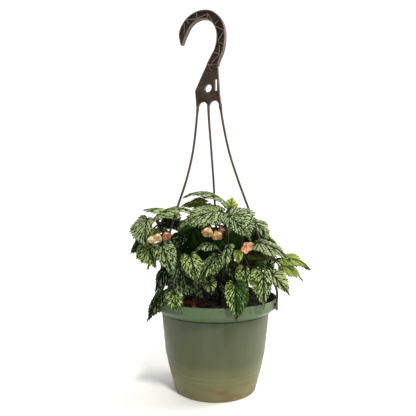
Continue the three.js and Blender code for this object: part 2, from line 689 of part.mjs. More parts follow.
        face: [-0.2, 0.6, 0.75], wide: [15, 15], arch: 6 },
      { at: 0.85, base: [23, 50, 214], tip: [24, 84, 186], face: [0, 0.75, 0.6], wide: [15, 15] },
      { at: 0.6, base: [-14, 58, 186], tip: [-24, 90, 152], face: [0, 0.85, 0.5], wide: [16, 14] },
      { at: 0.4, base: [20, 54, 166], tip: [28, 82, 134], face: [0.2, 0.85, 0.45], wide: [14, 14] },
      { at: 0.35, base: [-22, 54, 158], tip: [-32, 82, 126], face: [-0.2, 0.9, 0.4], wide: [14, 13] },
      { at: 0.15, base: [-21, 20, 158], tip: [-21, 12, 124],
        face: [0, -1, 0.1], wide: [14, 14], columns: 4 },
    ],
    blooms: [],
  },
  {
    name: 'cane_back_left',
    route: [[-35, 23, 121], [-48, 30, 165], [-61, 34, 204]],
    leaves: [
      { at: 0.7, base: [-39, 14, 189], tip: [-37, 6, 148], face: [0, -1, 0.1], wide: [20, 20], columns: 4 },
      { at: 0.98, base: [-74, 32, 214], tip: [-106, 28, 198],
        face: [-0.4, 0.3, 0.85], wide: [14, 15], arch: 6 },
      { at: 0.95, base: [-64, 50, 202], tip: [-84, 80, 176], face: [-0.5, 0.6, 0.6], wide: [15, 15] },
      { at: 0.8, base: [-76, 27, 184], tip: [-96, 20, 156], face: [-0.8, 0.3, 0.5], wide: [14, 13] },
      { at: 0.6, base: [-61, 52, 165], tip: [-74, 75, 133], face: [-0.55, 0.75, 0.4], wide: [15, 14] },
      { at: 0.4, base: [-60, 12, 152], tip: [-76, 4, 124], face: [-0.85, -0.1, 0.5], wide: [12, 12] },
    ],
    blooms: [],
  },
  {
    name: 'cane_back_right',
    route: [[33, 31, 121], [46, 38, 165], [57, 40, 200]],
    leaves: [
      { at: 0.7, base: [52, 21, 181], tip: [50, 12, 134],
        face: [0, -1, 0.1], wide: [20, 20], columns: 4 },
      { at: 0.98, base: [70, 36, 208], tip: [92, 40, 182], face: [0.5, 0.2, 0.85], wide: [14, 14] },
      { at: 0.95, base: [56, 58, 204], tip: [72, 88, 180], face: [0.4, 0.65, 0.65], wide: [15, 15] },
      { at: 0.7, base: [71, 34, 177], tip: [94, 34, 158], face: [0.8, 0.3, 0.5], wide: [13, 13] },
      { at: 0.6, base: [57, 60, 168], tip: [70, 86, 134], face: [0.45, 0.8, 0.4], wide: [15, 14] },
      { at: 0.4, base: [58, 16, 156], tip: [74, 8, 130], face: [0.85, -0.2, 0.5], wide: [12, 12] },
      { at: 0.98, base: [40, 24, 214], tip: [60, 34, 206], face: [0.1, 0.2, 0.95], wide: [11, 11] },
      { at: 0.15, base: [29, 25, 158], tip: [30, 21, 123], face: [0, -1, 0.1], wide: [14, 14], columns: 4 },
    ],
    blooms: [],
  },
];

// Petals of each kind of bloom: [bearing in degrees, share of length, share of width].
const BLOOM_KINDS = {
  cream: {
    petals: [[90, 1, 1.2], [270, 1, 1.2], [0, 0.85, 0.8], [180, 0.85, 0.8]],
    open: 0.36, knob: 1.6, colour: 0xe8d3a4,
  },
  coral: {
    petals: [[90, 1, 1.2], [210, 1, 1.1], [330, 0.95, 1.1]],
    open: 0.38, knob: 1.6, colour: 0xe08a72,
  },
  opening: {
    petals: [[18, 1, 0.8], [90, 0.95, 0.85], [162, 0.9, 0.8], [234, 1, 0.85], [306, 1.05, 0.9]],
    open: 0.62, knob: 1.9, colour: 0xe08a72,
  },
  peach: {
    petals: [[90, 1, 1.15], [270, 1, 1.15], [0, 0.85, 0.8], [180, 0.85, 0.8]],
    open: 0.38, knob: 1.8, colour: 0xdda36e,
  },
  bud: {
    petals: [[90, 1, 1.1], [270, 1, 1.1]],
    open: 0.25, knob: 1.4, colour: 0xb98069,
  },
  fallen: {
    petals: [[80, 1, 0.9], [200, 0.9, 0.8], [310, 0.8, 0.8]],
    open: 0.75, knob: 1.6, colour: 0x7c3b22,
  },
};

// Fallen blooms lie on the soil inside the front left of the rim.
const FALLEN = [
  { x: -38, y: -39, size: 8, turn: 20, colour: 0xb8482a },
  { x: -22, y: -37, size: 9.5, turn: 95, colour: 0x6a3020 },
  { x: -27, y: -55, size: 7, turn: 200, colour: 0x9a5a38 },
];

// A cane with its leaf stalks, leaves and bloom stalks, grown as one.
function caneSolid({ route, leaves, blooms }) {
  const [footX, footY] = route[0];
  const buried = [CANE_FOOT_HEIGHT, (CANE_FOOT_HEIGHT + CANE_SOIL_HEIGHT) / 2];
  const points = [...buried.map((height) => [footX, footY, height]), ...route].map(vector);
  const line = new THREE.CatmullRomCurve3(points);
  const length = line.getLength();
  const depth = CANE_SOIL_HEIGHT - CANE_FOOT_HEIGHT;
  const rootAt = (share) => line.getPointAt((depth + share * (length - depth)) / length);
  const steps = 3 * Math.round(length / KNUCKLE_SPACING) + 2;
  const knuckle = (ring, centre) => ring % 3 === 2 && centre.z > CANE_SOIL_HEIGHT + 4;
  const swell = (ring, centre) => (knuckle(ring, centre) ? 1 + KNUCKLE_SWELL : 1);
  const stem = rod(points, CANE_RADIUS, CANE_SIDES, steps, swell);
  const pieces = [stem];
  for (const leaf of leaves) {
    pieces.push(leafSolid(leaf), stalkSolid(rootAt(leaf.at), leaf));
  }
  for (const bloom of blooms) {
    pieces.push(pedicelSolid(rootAt(bloom.at), bloom));
  }
  return fuse(pieces);
}

// Lowers a solid that starts above another until only the clearance is left between them.
function lowerOnto(body, carrier) {
  let resting = body;
  for (let step = 0; step < 4; step += 1) {
    const space = resting.minGap(carrier, 30);
    resting = resting.translate(0, 0, GAP - space);
  }
  return resting;
}

const plant = new THREE.Group();

const soil = soilSolid(CANES.map(({ route }) => route[0]));
plant.add(meshOf('pot', potSolid(STRANDS.map(({ bearing }) => bearing)), 0x7d8f78, 0.6));
plant.add(meshOf('soil', soil, 0x1e1712, 0.95));
plant.add(meshOf('hanger', hangerSolid(), 0x54463c, 0.55));

for (const cane of CANES) {
  plant.add(meshOf(cane.name, caneSolid(cane), 0x6f8a5a, 0.6));
  cane.blooms.forEach((bloom, i) => {
    const kind = BLOOM_KINDS[bloom.kind];
    const name = `${cane.name.replace('cane', 'bloom')}_${i + 1}`;
    plant.add(meshOf(name, bloomSolid({ turn: 0, ...kind, ...bloom }), kind.colour, 0.7));
  });
}

FALLEN.forEach(({ x, y, size, turn, colour }, i) => {
  const above = { centre: [x, y, POT_HEIGHT + 15], face: [0.1, -0.75, 0.65] };
  const lying = bloomSolid({ ...BLOOM_KINDS.fallen, ...above, size, turn });
  plant.add(meshOf(`fallen_bloom_${i + 1}`, lowerOnto(lying, soil), colour, 0.85));
});

export default plant;
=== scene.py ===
# A silver-leaved begonia in a moulded plastic hanging pot, standing on a pale surface.
# Metres, +Z up. The origin is the centre of the pot's base, and the front of the plant faces -Y.
import math

import bpy
import numpy as np
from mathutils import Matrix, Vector, noise


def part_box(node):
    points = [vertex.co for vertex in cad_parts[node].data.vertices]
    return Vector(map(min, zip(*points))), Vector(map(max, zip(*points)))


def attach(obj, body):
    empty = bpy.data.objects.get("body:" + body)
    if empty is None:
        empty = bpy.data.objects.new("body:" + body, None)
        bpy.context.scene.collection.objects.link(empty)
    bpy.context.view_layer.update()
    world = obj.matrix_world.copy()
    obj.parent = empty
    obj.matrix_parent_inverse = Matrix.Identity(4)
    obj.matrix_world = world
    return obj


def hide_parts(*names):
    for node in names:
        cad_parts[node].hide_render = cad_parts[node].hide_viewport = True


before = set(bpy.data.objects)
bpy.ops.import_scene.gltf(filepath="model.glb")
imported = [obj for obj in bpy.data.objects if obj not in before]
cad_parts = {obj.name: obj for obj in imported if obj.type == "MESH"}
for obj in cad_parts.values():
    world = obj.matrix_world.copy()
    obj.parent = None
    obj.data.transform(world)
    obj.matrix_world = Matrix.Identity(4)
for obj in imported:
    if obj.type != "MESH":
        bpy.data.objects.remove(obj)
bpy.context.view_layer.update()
MM = 0.001


# Camera
# Level with the top of the foliage and a little to the left of the pot, with a lens of about 39 mm
# on a full frame.
def added(name, data):
    """A new object of the scene, at the origin."""
    made = bpy.data.objects.new(name, data)
    bpy.context.scene.collection.objects.link(made)
    return made


camera = added("camera", bpy.data.cameras.new("camera"))
bpy.context.scene.camera = camera
camera.data.lens = 38.6
camera.location = (-0.010, -0.615, 0.245)
camera.rotation_euler = (math.pi / 2, 0, 0)


# Pot
# One shell of moulded polypropylene: a deep rim that slopes in below to a small step, a tapered
# wall with fine rings near its foot, and a shallow hollow under the base. Drain holes are moulded
# in the base, and the rim is pierced for the hanger's three pegs.
POT_SIDES = 144
POT_PROFILE = [
    (0, 0.9), (46, 0.9), (47.4, 0.5), (48, 0), (53.6, 0), (54.8, 0.4), (55.5, 1.6), (58.5, 13),
    (61.1, 23.2), (61.7, 23.8), (61.6, 24.6), (62.7, 29.4), (63.2, 29.8), (63.1, 30.6), (64.1, 35.2),
    (64.6, 35.7), (64.5, 36.5), (66.9, 47.6), (67.4, 49.2), (68.1, 54), (70.2, 73), (72.2, 92),
    (73.3, 103), (73.3, 104.4), (73.1, 105.2), (73.2, 105.7), (73.9, 105.8), (75.0, 106.1),
    (76.2, 106.9), (80.0, 109.9), (83.4, 112.5), (84.3, 113.4), (84.6, 114.4), (84.5, 116),
    (84.2, 121), (84.0, 123.8), (83.8, 124.6), (83.3, 125), (82.8, 124.9), (82.5, 124.2),
    (82.6, 120), (83.0, 116), (82.8, 114.8), (82.0, 114), (77, 110.8), (72.6, 107.6), (71.9, 106.4),
    (71.4, 102), (65.8, 49), (59.8, 24), (54.2, 3.4), (53.4, 2.6), (52, 2.4), (20, 2.4), (0, 2.4),
]
DRAIN_HOLES = 5
DRAIN_HOLE_RADIUS = 4 * MM
DRAIN_CIRCLE_RADIUS = 36 * MM
PEG_HEIGHT = 119 * MM
PEG_HOLE_RADIUS = 2.1 * MM
RIM_RADIUS = 84 * MM
NECK_HEIGHT = 105.3 * MM
FOOT_BEARINGS = [213, -23.5, 86]
COLOUR_HEIGHT = 124.5 * MM


def mesh_object(name, points, faces, edges=(), smooth=True):
    """A new mesh object at the origin from points in metres."""
    mesh = bpy.data.meshes.new(name)
    mesh.from_pydata([tuple(p) for p in points], edges, [tuple(f) for f in faces])
    mesh.validate()
    mesh.polygons.foreach_set("use_smooth", [smooth] * len(mesh.polygons))
    return added(name, mesh)


def turned(profile, sides):
    """A closed profile of (radius, height) in millimetres turned about the Z axis."""
    points, rows, faces = [], [], []
    for radius, height in profile:
        if radius == 0:
            rows.append([len(points)] * sides)
            points.append((0, 0, height * MM))
            continue
        rows.append(range(len(points), len(points) + sides))
        for i in range(sides):
            angle = 2 * math.pi * i / sides
            points.append((radius * MM * math.cos(angle), radius * MM * math.sin(angle), height * MM))
    for lower, upper in zip(rows, rows[1:]):
        for i in range(sides):
            j = (i + 1) % sides
            corners = list(dict.fromkeys((lower[i], lower[j], upper[j], upper[i])))
            if len(corners) > 2:
                faces.append(corners)
    return points, faces


def linear(colour):
    """A linear colour from sRGB hex."""
    parts = [int(colour[i:i + 2], 16) / 255 for i in (1, 3, 5)]
    return (*[p / 12.92 if p <= 0.04045 else ((p + 0.055) / 1.055) ** 2.4 for p in parts], 1)


class Output:
    """An output of a node. Arithmetic on it adds nodes, and an index picks another output."""

    def __init__(self, tree, made, pick=0):
        self.tree, self.made, self.pick = tree, made, pick

    def __getitem__(self, pick):
        return Output(self.tree, self.made, pick)

    __abs__ = lambda self: maths("ABSOLUTE", self)
    __add__ = lambda self, value: maths("ADD", self, value)
    __sub__ = lambda self, value: maths("SUBTRACT", self, value)
    __rsub__ = lambda self, value: maths("SUBTRACT", value, self)
    __mul__ = lambda self, value: maths("MULTIPLY", self, value)
    __truediv__ = lambda self, value: maths("DIVIDE", self, value)


def node(kind, inputs=(), pick=0, tree=None, **settings):
    """Adds a node to a tree, or to its inputs' own: each a value, a colour or one or more outputs."""
    inputs = inputs if isinstance(inputs, dict) else dict(enumerate(inputs))
    inputs = {key: value if isinstance(value, list) else [value] for key, value in inputs.items()}
    tree = tree or next(v.tree for values in inputs.values() for v in values if isinstance(v, Output))
    made = tree.nodes.new(kind if "Node" in kind else tree.bl_idname[:-4] + kind)
    for key, value in settings.items():
        setattr(made, key, value)
    for key, values in inputs.items():
        for value in values:
            if isinstance(value, Output):
                tree.links.new(value.made.outputs[value.pick], made.inputs[key])
            else:
                made.inputs[key].default_value = linear(value) if str(value)[0] == "#" else value
    return Output(tree, made, pick)


def maths(operation, *values):
    """One step of arithmetic on outputs and numbers."""
    return node("Math", values, operation=operation)


def parts(vector):
    """The three parts of a vector."""
    split = node("SeparateXYZ", [vector])
    return split, split[1], split[2]


def new_material(name):
    """An empty material and the object's coordinates in it."""
    made = bpy.data.materials.new(name)
    made.use_nodes = True
    made.node_tree.nodes.clear()
    return made, node("TexCoord", pick="Object", tree=made.node_tree)


def surfaced(made, inputs):
    """Ends a material with a shader of the given inputs."""
    node("OutputMaterial", {"Surface": node("BsdfPrincipled", inputs, tree=made.node_tree)})
    return made


def ramp(factor, stops):
    """A colour ramp with an sRGB hex at each place."""
    made = node("ValToRGB", [factor])
    elements = made.made.color_ramp.elements
    while len(elements) < len(stops):
        elements.new(0.5)
    for element, (place, colour) in zip(elements, stops.items()):
        element.position = place
        element.color = linear(colour)
    return made


def blended(factor, first, second):
    """Two colours mixed by a factor."""
    return node("Mix", {0: factor, 6: first, 7: second}, pick=2, data_type="RGBA")


def spread(value, low, high, to_low=0, to_high=1):
    """A value from low to high, moved smoothly to another range and held at its ends."""
    return node("MapRange", (value, low, high, to_low, to_high), interpolation_type="SMOOTHSTEP")


def cloudy(place, scale, detail):
    """Noise of one scale, or of a scale for each axis."""
    if isinstance(scale, tuple):
        place, scale = node("Mapping", {"Vector": place, "Scale": scale}), 1
    return node("TexNoise", {"Vector": place, "Scale": scale, "Detail": detail})


def bumped(height, strength, distance):
    """A bumpy surface, as high as a distance."""
    return node("Bump", {"Strength": strength, "Distance": distance, "Height": height})


# Moulded polypropylene, sage green: a low satin gloss, a faint mould texture, pale vertical drag marks,
# dust, a few dark scuffs, brown smears of soil low down, and a dark line of painted shade in the groove
# at the neck. The wall is paler and yellower towards the foot: painted light from the floor's bounce.
def pot_plastic():
    made, place = new_material("moulded_polypropylene_sage")
    height = parts(place)[2]
    clouds = cloudy(place, 22, 5)
    # The wall is paler and yellower towards the foot: painted light from the floor's bounce.
    body = ramp(height / COLOUR_HEIGHT, {
        0: "#777148", 0.25: "#686b44", 0.4: "#4c5236", 0.845: "#454f36", 0.855: "#4b5f41", 1: "#516646",
    })
    streaks = cloudy(place, (60, 60, 7), 4)
    wear_and_highlight = blended(spread(streaks, 0.4, 0.8, 0, 0.15), body, "#6f7660")
    dusty = blended(spread(clouds, 0.5, 0.75, 0, 0.25), wear_and_highlight, "#564d38")
    smears = spread(cloudy(place, (26, 26, 110), 3), 0.5, 0.66)
    soiled = blended(smears * spread(height, 15 * MM, 45 * MM, 0.55, 0), dusty, "#6b4526")
    chips = spread(cloudy(place, 280, 0), 0.77, 0.81, 0, 0.75)
    scuffed = blended(chips * spread(height, 85 * MM, 110 * MM, 0.15), soiled, "#1c2a20")
    # Painted shade: a near-black line round the groove at the neck.
    neck_shade_line = spread(abs(height - NECK_HEIGHT), 0.6 * MM, 1.6 * MM, 0.95, 0)
    return surfaced(made, {
        "Base Color": blended(neck_shade_line, scuffed, "#0c110b"),
        "Roughness": spread(clouds, 0.3, 0.8, 0.38, 0.6),
        "Normal": bumped(cloudy(place, 900, 3), 0.12, 0.6 * MM),
        "IOR": 1.49, "Specular IOR Level": 0.35,
    })


def shape_inputs(name, values=()):
    """The inputs of a new tree for a Geometry Nodes modifier: geometry, named values and a material."""
    tree = bpy.data.node_groups.new(name, "GeometryNodeTree")
    tree.interface.new_socket("Geometry", in_out="OUTPUT", socket_type="NodeSocketGeometry")
    tree.interface.new_socket("Geometry", in_out="INPUT", socket_type="NodeSocketGeometry")
    for label, value in dict(values).items():
        kind = "NodeSocketInt" if isinstance(value, int) else "NodeSocketFloat"
        tree.interface.new_socket(label, in_out="INPUT", socket_type=kind).default_value = value
    tree.interface.new_socket("Material", in_out="INPUT", socket_type="NodeSocketMaterial")
    return node("NodeGroupInput", tree=tree)


def finished(geometry, given):
    """Ends a tree, with its instances made real and its material set, and gives it back."""
    real = node("RealizeInstances", [geometry])
    node("NodeGroupOutput", [node("SetMaterial", {"Geometry": real, "Material": given["Material"]})])
    return given.tree


def shaped(piece, tree, material):
    """Runs a tree on a piece with a material, and leaves the result as its plain mesh."""
    modifier = piece.modifiers.new("shape", "NODES")
    modifier.node_group = tree
    for item in tree.interface.items_tree:
        if item.name == "Material":
            modifier[item.identifier] = material
    mesh = bpy.data.meshes.new_from_object(piece.evaluated_get(bpy.context.evaluated_depsgraph_get()))
    piece.modifiers.remove(modifier)
    piece.data = mesh
    mesh.name = piece.name
    return piece


def pierced_pot_tree():
    """Cuts the drain holes in the base and the peg holes in the rim."""
    given = shape_inputs("pierced_pot", {
        "Drain holes": DRAIN_HOLES, "Drain circle": DRAIN_CIRCLE_RADIUS,
        "Drain radius": DRAIN_HOLE_RADIUS, "Peg radius": PEG_HOLE_RADIUS,
    })
    ring = node("MeshCircle", {"Vertices": given["Drain holes"], "Radius": given["Drain circle"]})
    drill = node("MeshCylinder", {"Vertices": 24, "Radius": given["Drain radius"], "Depth": 20 * MM})
    drains = node("InstanceOnPoints", {"Points": ring, "Instance": drill})
    cutters = [node("RealizeInstances", [drains])]
    for bearing in FOOT_BEARINGS:
        angle = math.radians(bearing)
        punch = node("MeshCylinder", {"Vertices": 20, "Radius": given["Peg radius"], "Depth": 12 * MM})
        cutters.append(node("Transform", {
            "Geometry": punch, "Rotation": (0, math.pi / 2, angle),
            "Translation": (RIM_RADIUS * math.cos(angle), RIM_RADIUS * math.sin(angle), PEG_HEIGHT),
        }))
    cut = node("MeshBoolean", (given["Geometry"], cutters), operation="DIFFERENCE", solver="EXACT")
    return finished(cut, given)


pot = mesh_object("pot_shell", *turned(POT_PROFILE, POT_SIDES))
shaped(pot, pierced_pot_tree(), pot_plastic())
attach(pot, "root")
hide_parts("pot")


# Soil
# Dark peat-based potting soil, packed to a little below the rim, domed in the middle and crumbly on
# top. Its crumbs are loose pieces of peat and bark.
SOIL_EDGE_HEIGHT = 115.5
SOIL_RADIUS = 81.9
SOIL_CROWN = 2.5
SOIL_LUMP = 1.3
SOIL_SIDES = 96
SOIL_RINGS = 44
SOIL_PROFILE = [
    (0, 2.7), (53.6, 2.7), (59.2, 24), (65.2, 49), (70.9, 106.5), (82.0, 114.6),
    *[(SOIL_RADIUS * (1 - i / SOIL_RINGS), SOIL_EDGE_HEIGHT) for i in range(SOIL_RINGS)],
    (0, SOIL_EDGE_HEIGHT),
]
SOIL_REACH = 84
CRUMBS_RADIUS = 79
CRUMB_SIZE = 1.5 * MM


def soil_top(x, y):
    """Height of the soil's top in millimetres at a point in millimetres."""
    reach = math.hypot(x, y) / SOIL_REACH
    crown = SOIL_CROWN * (1 - reach * reach)
    lumps = math.sin(0.21 * x + 1.3) * math.cos(0.17 * y) + 0.7 * math.sin(0.13 * x - 0.29 * y)
    crumbly = noise.fractal(Vector((x, y, 0)) * 0.16, 1.0, 2.0, 4) * 1.1
    return SOIL_EDGE_HEIGHT + crown + (SOIL_LUMP * lumps + crumbly) * (1 - reach ** 4)


# Peat and bark: dark brown made almost black as painted shade under the foliage, dull, with lighter brown
# fibres and flecks.
def soil_matter():
    made, place = new_material("peat_potting_soil")
    lumps = cloudy(place, 260, 6)
    flecks = node("TexVoronoi", {"Vector": place, "Scale": 420}, pick=1)
    fleck = node("SeparateColor", [flecks])
    # Painted shade: the peat's brown is darkened to almost black.
    peat_and_painted_shade = ramp(lumps, {0.3: "#040302", 0.5: "#090604", 0.72: "#170f0a"})
    return surfaced(made, {
        "Base Color": blended(spread(fleck, 0.9, 0.95, 0, 0.5), peat_and_painted_shade, "#4a3320"),
        "Roughness": 0.95, "Specular IOR Level": 0.25, "Normal": bumped(lumps, 0.7, 1.2 * MM),
    })


def strewn(given, surface, grain, **more):
    """Copies of a grain all over a surface, standing on it unless more inputs turn them."""
    spots = node("DistributePointsOnFaces", {
        "Mesh": surface, "Density": given["Per square metre"], "Seed": given["Seed"],
    })
    inputs = {"Points": spots, "Instance": grain, "Rotation": spots["Rotation"], **more}
    return node("InstanceOnPoints", inputs)


def crumbs_tree():
    """Strews small rough crumbs over the faces that face up, in sizes up to twice the usual."""
    given = shape_inputs("soil_crumbs", {
        "Crumb size": CRUMB_SIZE, "Per square metre": 60000.0, "Seed": 5,
    })
    crumb = node("MeshIcoSphere", {"Radius": given["Crumb size"], "Subdivisions": 1})
    turn, size = (
        node("FunctionNodeRandomValue", {0: low, 1: high, "Seed": given["Seed"]}, data_type="FLOAT_VECTOR")
        for low, high in (((0, 0, 0), (6.3, 6.3, 6.3)), ((0.3, 0.35, 0.2), (1.3, 1.0, 0.7)))
    )
    return finished(strewn(given, given["Geometry"], crumb, Rotation=turn, Scale=size), given)


SOIL_MATTER = soil_matter()
points, faces = turned(SOIL_PROFILE, SOIL_SIDES)
points = [
    (x, y, soil_top(x / MM, y / MM) * MM if z > (SOIL_EDGE_HEIGHT - 0.1) * MM else z) for x, y, z in points
]
soil = mesh_object("soil_body", points, faces)
soil.data.materials.append(SOIL_MATTER)
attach(soil, "root")
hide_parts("soil")

top = [
    p for p in points if p[2] > (SOIL_EDGE_HEIGHT - 0.5) * MM and math.hypot(p[0], p[1]) < CRUMBS_RADIUS * MM
]
kept = {p: i for i, p in enumerate(top)}
top_faces = [[kept[points[i]] for i in f] for f in faces if all(points[i] in kept for i in f)]
crumbs = shaped(mesh_object("soil_crumbs", top, top_faces), crumbs_tree(), SOIL_MATTER)
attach(crumbs, "root")
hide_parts("soil")


# Hanger
# One piece of moulded brown plastic. The hook is a thin web between two edge flanges, braced by small
# ribs, and runs down into a flat pierced plate. Three thin strands leave the plate and end in tabs
# outside the rim, each held by a headed peg pushed through a hole.
HANGER_TURN = math.radians(28)
HANGER_CENTRE_X = -8 * MM
FLANGE_DEPTH = 6.4
FLANGE_THICKNESS = 1.5
WEB_DEPTH = 2.4
PLATE_DEPTH = 3.6
PLATE_FOOT = 380
COLLAR_DEPTH = 4.5
COLLAR_RADIUS = 7.4
HOOK_FOOT = 438 * MM
HOOK_LINE = [
    (-43.6, 476.5, 1.4), (-43, 483.5, 3.8), (-41.2, 493, 6.6), (-34.5, 504, 6.9), (-24, 511, 6.6),
    (-11, 513, 6.4), (2, 509.5, 6.4), (12.5, 499.5, 6.4), (17.8, 487, 6.4), (18.4, 474, 6.5),
    (15.6, 460.5, 6.9), (9.5, 449, 7.5), (4.8, 440, 8.3),
]
PLATE_OUTLINE = [
    (-19.8, PLATE_FOOT), (19.4, PLATE_FOOT), (16.3, 399), (14.7, 419.5), (13.2, 442), (-4, 442),
    (-14, 424), (-22, 408.5), (-20.6, 393),
]
PLATE_HOLE = (-1.2, 410, 5.5)
PLATE_SLOT = (10.6, 413, 3.4, 16)
ARCH_TOP = 392
ARCHES = [(-9.9, 14.2), (7.6, 15)]
RIB_WIDTH = 1.5
RIB_DEPTH = 5.5
RIBS = [
    ((-19.0, 518.3), (-18.3, 508.4)), ((-36.4, 510.6), (-18.9, 508.5)), ((-36.4, 510.6), (-30.7, 503.7)),
    ((-38.7, 508.5), (-39.3, 490.3)), ((-18.3, 508.7), (-1.3, 512.1)), ((-1.3, 512.1), (-2.7, 505.5)),
    ((-1.3, 512.1), (8.6, 495.2)), ((15.5, 499.6), (8.5, 495.3)), ((9.3, 493.9), (24.0, 484.1)),
    ((24.0, 484.1), (14.1, 471.7)), ((13.9, 470.4), (23.3, 466.2)), ((16.4, 466.1), (16.4, 455.1)),
    ((7.3, 458.0), (17.0, 453.4)), ((17.0, 453.4), (4.7, 443.9)), ((-0.3, 442.5), (12.2, 435.4)),
    ((-0.3, 440.9), (3.5, 433.5)), ((-3, 443), (15, 440)),
]
STRAND_RADIUS = 1.7
FOOT_CENTRE_RADIUS = 86.7
TAB_OUTLINE = [(-2.5, 112), (2.5, 112), (2.5, 125), (1.7, 126.4), (-1.7, 126.4), (-2.5, 125)]
TAB_DEPTH = 2.6
PEG = [(80.2, 1.6), (82.0, 2.7), (82.05, 1.6), (86.9, 1.6)]
FOOT_HEIGHTS = (138, 122)
STRAND_ROUTES = [
    [(-24.3, 8.7, 386), (-25.2, 7, 374), (-30.4, -2.2, 324), (-39.2, -11, 283), (-49.8, -18.5, 249),
     (-60, -26, 214), (-70.4, -38, 165)],
    [(7, -8, 386), (8.2, -8.8, 374), (17.9, -13.9, 323), (30.4, -18.4, 282), (43.6, -22.4, 245),
     (55.2, -26, 211), (73, -32.3, 154)],
    [(-9.2, 0.8, 386), (-9, 2.5, 374), (-5.4, 18, 328), (-2, 33, 285), (0.2, 45, 250), (3, 60, 205),
     (5.4, 78.5, 153)],
]


def between(p1, p2, v1, v2, w):
    """Points a share w of the way from one point to the next, for the curve's run at both."""
    return (2 * p1 - 2 * p2 + v1 + v2) * w ** 3 + (-3 * p1 + 3 * p2 - 2 * v1 - v2) * w ** 2 + v1 * w + p1


def flat_curve(points, places):
    """Places from 0 to 1 along a smooth curve through points, each point taking an equal share."""
    points = np.asarray(points, float)
    last = len(points) - 1
    at = np.clip(np.asarray(places, float), 0, 1) * last
    start = np.minimum(at.astype(int), last)
    p0, p1 = points[np.maximum(start - 1, 0)], points[start]
    p2, p3 = points[np.minimum(start + 1, last)], points[np.minimum(start + 2, last)]
    return between(p1, p2, (p2 - p0) / 2, (p3 - p1) / 2, (at - start)[:, None])


def lengths(points):
    """How far along a line each of its points is."""
    return np.concatenate([[0], np.cumsum(np.linalg.norm(np.diff(points, axis=0), axis=1))])


def route_curve(points, count):
    """Evenly spaced points along a smooth curve in space that passes through the given ones."""
    points = np.asarray(points, float)
    ends = np.vstack([2 * points[0] - points[1], points, 2 * points[-1] - points[-2]])
    fine = []
    for p0, p1, p2, p3 in zip(ends, ends[1:], ends[2:], ends[3:]):
        d0, d1, d2 = (max(np.linalg.norm(b - a) ** 0.5, 1e-4) for a, b in ((p0, p1), (p1, p2), (p2, p3)))
        v1 = ((p1 - p0) / d0 - (p2 - p0) / (d0 + d1) + (p2 - p1) / d1) * d1
        v2 = ((p2 - p1) / d1 - (p3 - p1) / (d1 + d2) + (p3 - p2) / d2) * d1
        fine.append(between(p1, p2, v1, v2, np.linspace(0, 1, 30, endpoint=False)[:, None]))
    fine = np.vstack([*fine, points[-1:]])
    reach = lengths(fine)
    wanted = np.linspace(0, reach[-1], count)
    return np.stack([np.interp(wanted, reach, fine[:, i]) for i in range(3)], axis=1)


def unit(vectors):
    """Vectors of length 1."""
    vectors = np.asarray(vectors, float)
    return vectors / np.linalg.norm(vectors, axis=-1, keepdims=True)


def hook_edges(narrower=0.0):
    """The hook's left and right edges from its tip, moved in by a width."""
    steps = np.linspace(0, 1, 61)
    middle = flat_curve([p[:2] for p in HOOK_LINE], steps)
    half = flat_curve([(0, p[2]) for p in HOOK_LINE], steps)[:, 1] - narrower
    along = unit(np.gradient(middle, axis=0))
    out = np.stack([-along[:, 1], along[:, 0]], axis=1) * np.maximum(half, 0.25)[:, None]
    return middle + out, middle - out


def circle_points(across, height, radius, start=0.0, end=360.0, count=48):
    """Points round part of a circle, anticlockwise."""
    angles = np.radians(np.linspace(start, end, count, endpoint=end - start < 360))
    return [(across + radius * math.cos(a), height + radius * math.sin(a)) for a in angles]


def moulded_slab(outlines, depth, edge=0.35):
    """A flat moulded shape with softened edges, as thick as depth: its outline, then its holes."""
    curve = bpy.data.curves.new("outline", "CURVE")
    curve.dimensions = "2D"
    curve.fill_mode = "BOTH"
    curve.extrude = (depth / 2 - edge) * MM
    curve.bevel_depth = edge * MM
    curve.bevel_resolution = 1
    curve.offset = -edge * MM
    for outline in outlines:
        spline = curve.splines.new("POLY")
        spline.points.add(len(outline) - 1)
        spline.points.foreach_set("co", [c for x, y in outline for c in (x * MM, y * MM, 0, 1)])
        spline.use_cyclic_u = True
    carrier = added("outline", curve)
    mesh = bpy.data.meshes.new_from_object(carrier.evaluated_get(bpy.context.evaluated_depsgraph_get()))
    bpy.data.objects.remove(carrier)
    points = [tuple(v.co) for v in mesh.vertices]
    faces = [tuple(p.vertices) for p in mesh.polygons]
    bpy.data.meshes.remove(mesh)
    return points, faces


def tube(points, radii, sides):
    """A round tube through points in millimetres, with a radius at each and flat closed ends."""
    points = np.asarray(points, float) * MM
    along = unit(np.gradient(points, axis=0))
    side = np.cross(along[0], (0.3, 0.9, 0.2))
    corners = []
    for place, ahead, radius in zip(points, along, radii):
        side = unit(side - ahead * side.dot(ahead))
        other = np.cross(ahead, side)
        for i in range(sides):
            angle = 2 * math.pi * i / sides
            corners.append(place + radius * MM * (side * math.cos(angle) + other * math.sin(angle)))
    faces = [tuple(range(sides))[::-1]]
    for row in range(len(points) - 1):
        for i in range(sides):
            a, b = row * sides + i, row * sides + (i + 1) % sides
            faces.append((a, b, b + sides, a + sides))
    faces.append(tuple(range((len(points) - 1) * sides, len(points) * sides)))
    return corners, faces
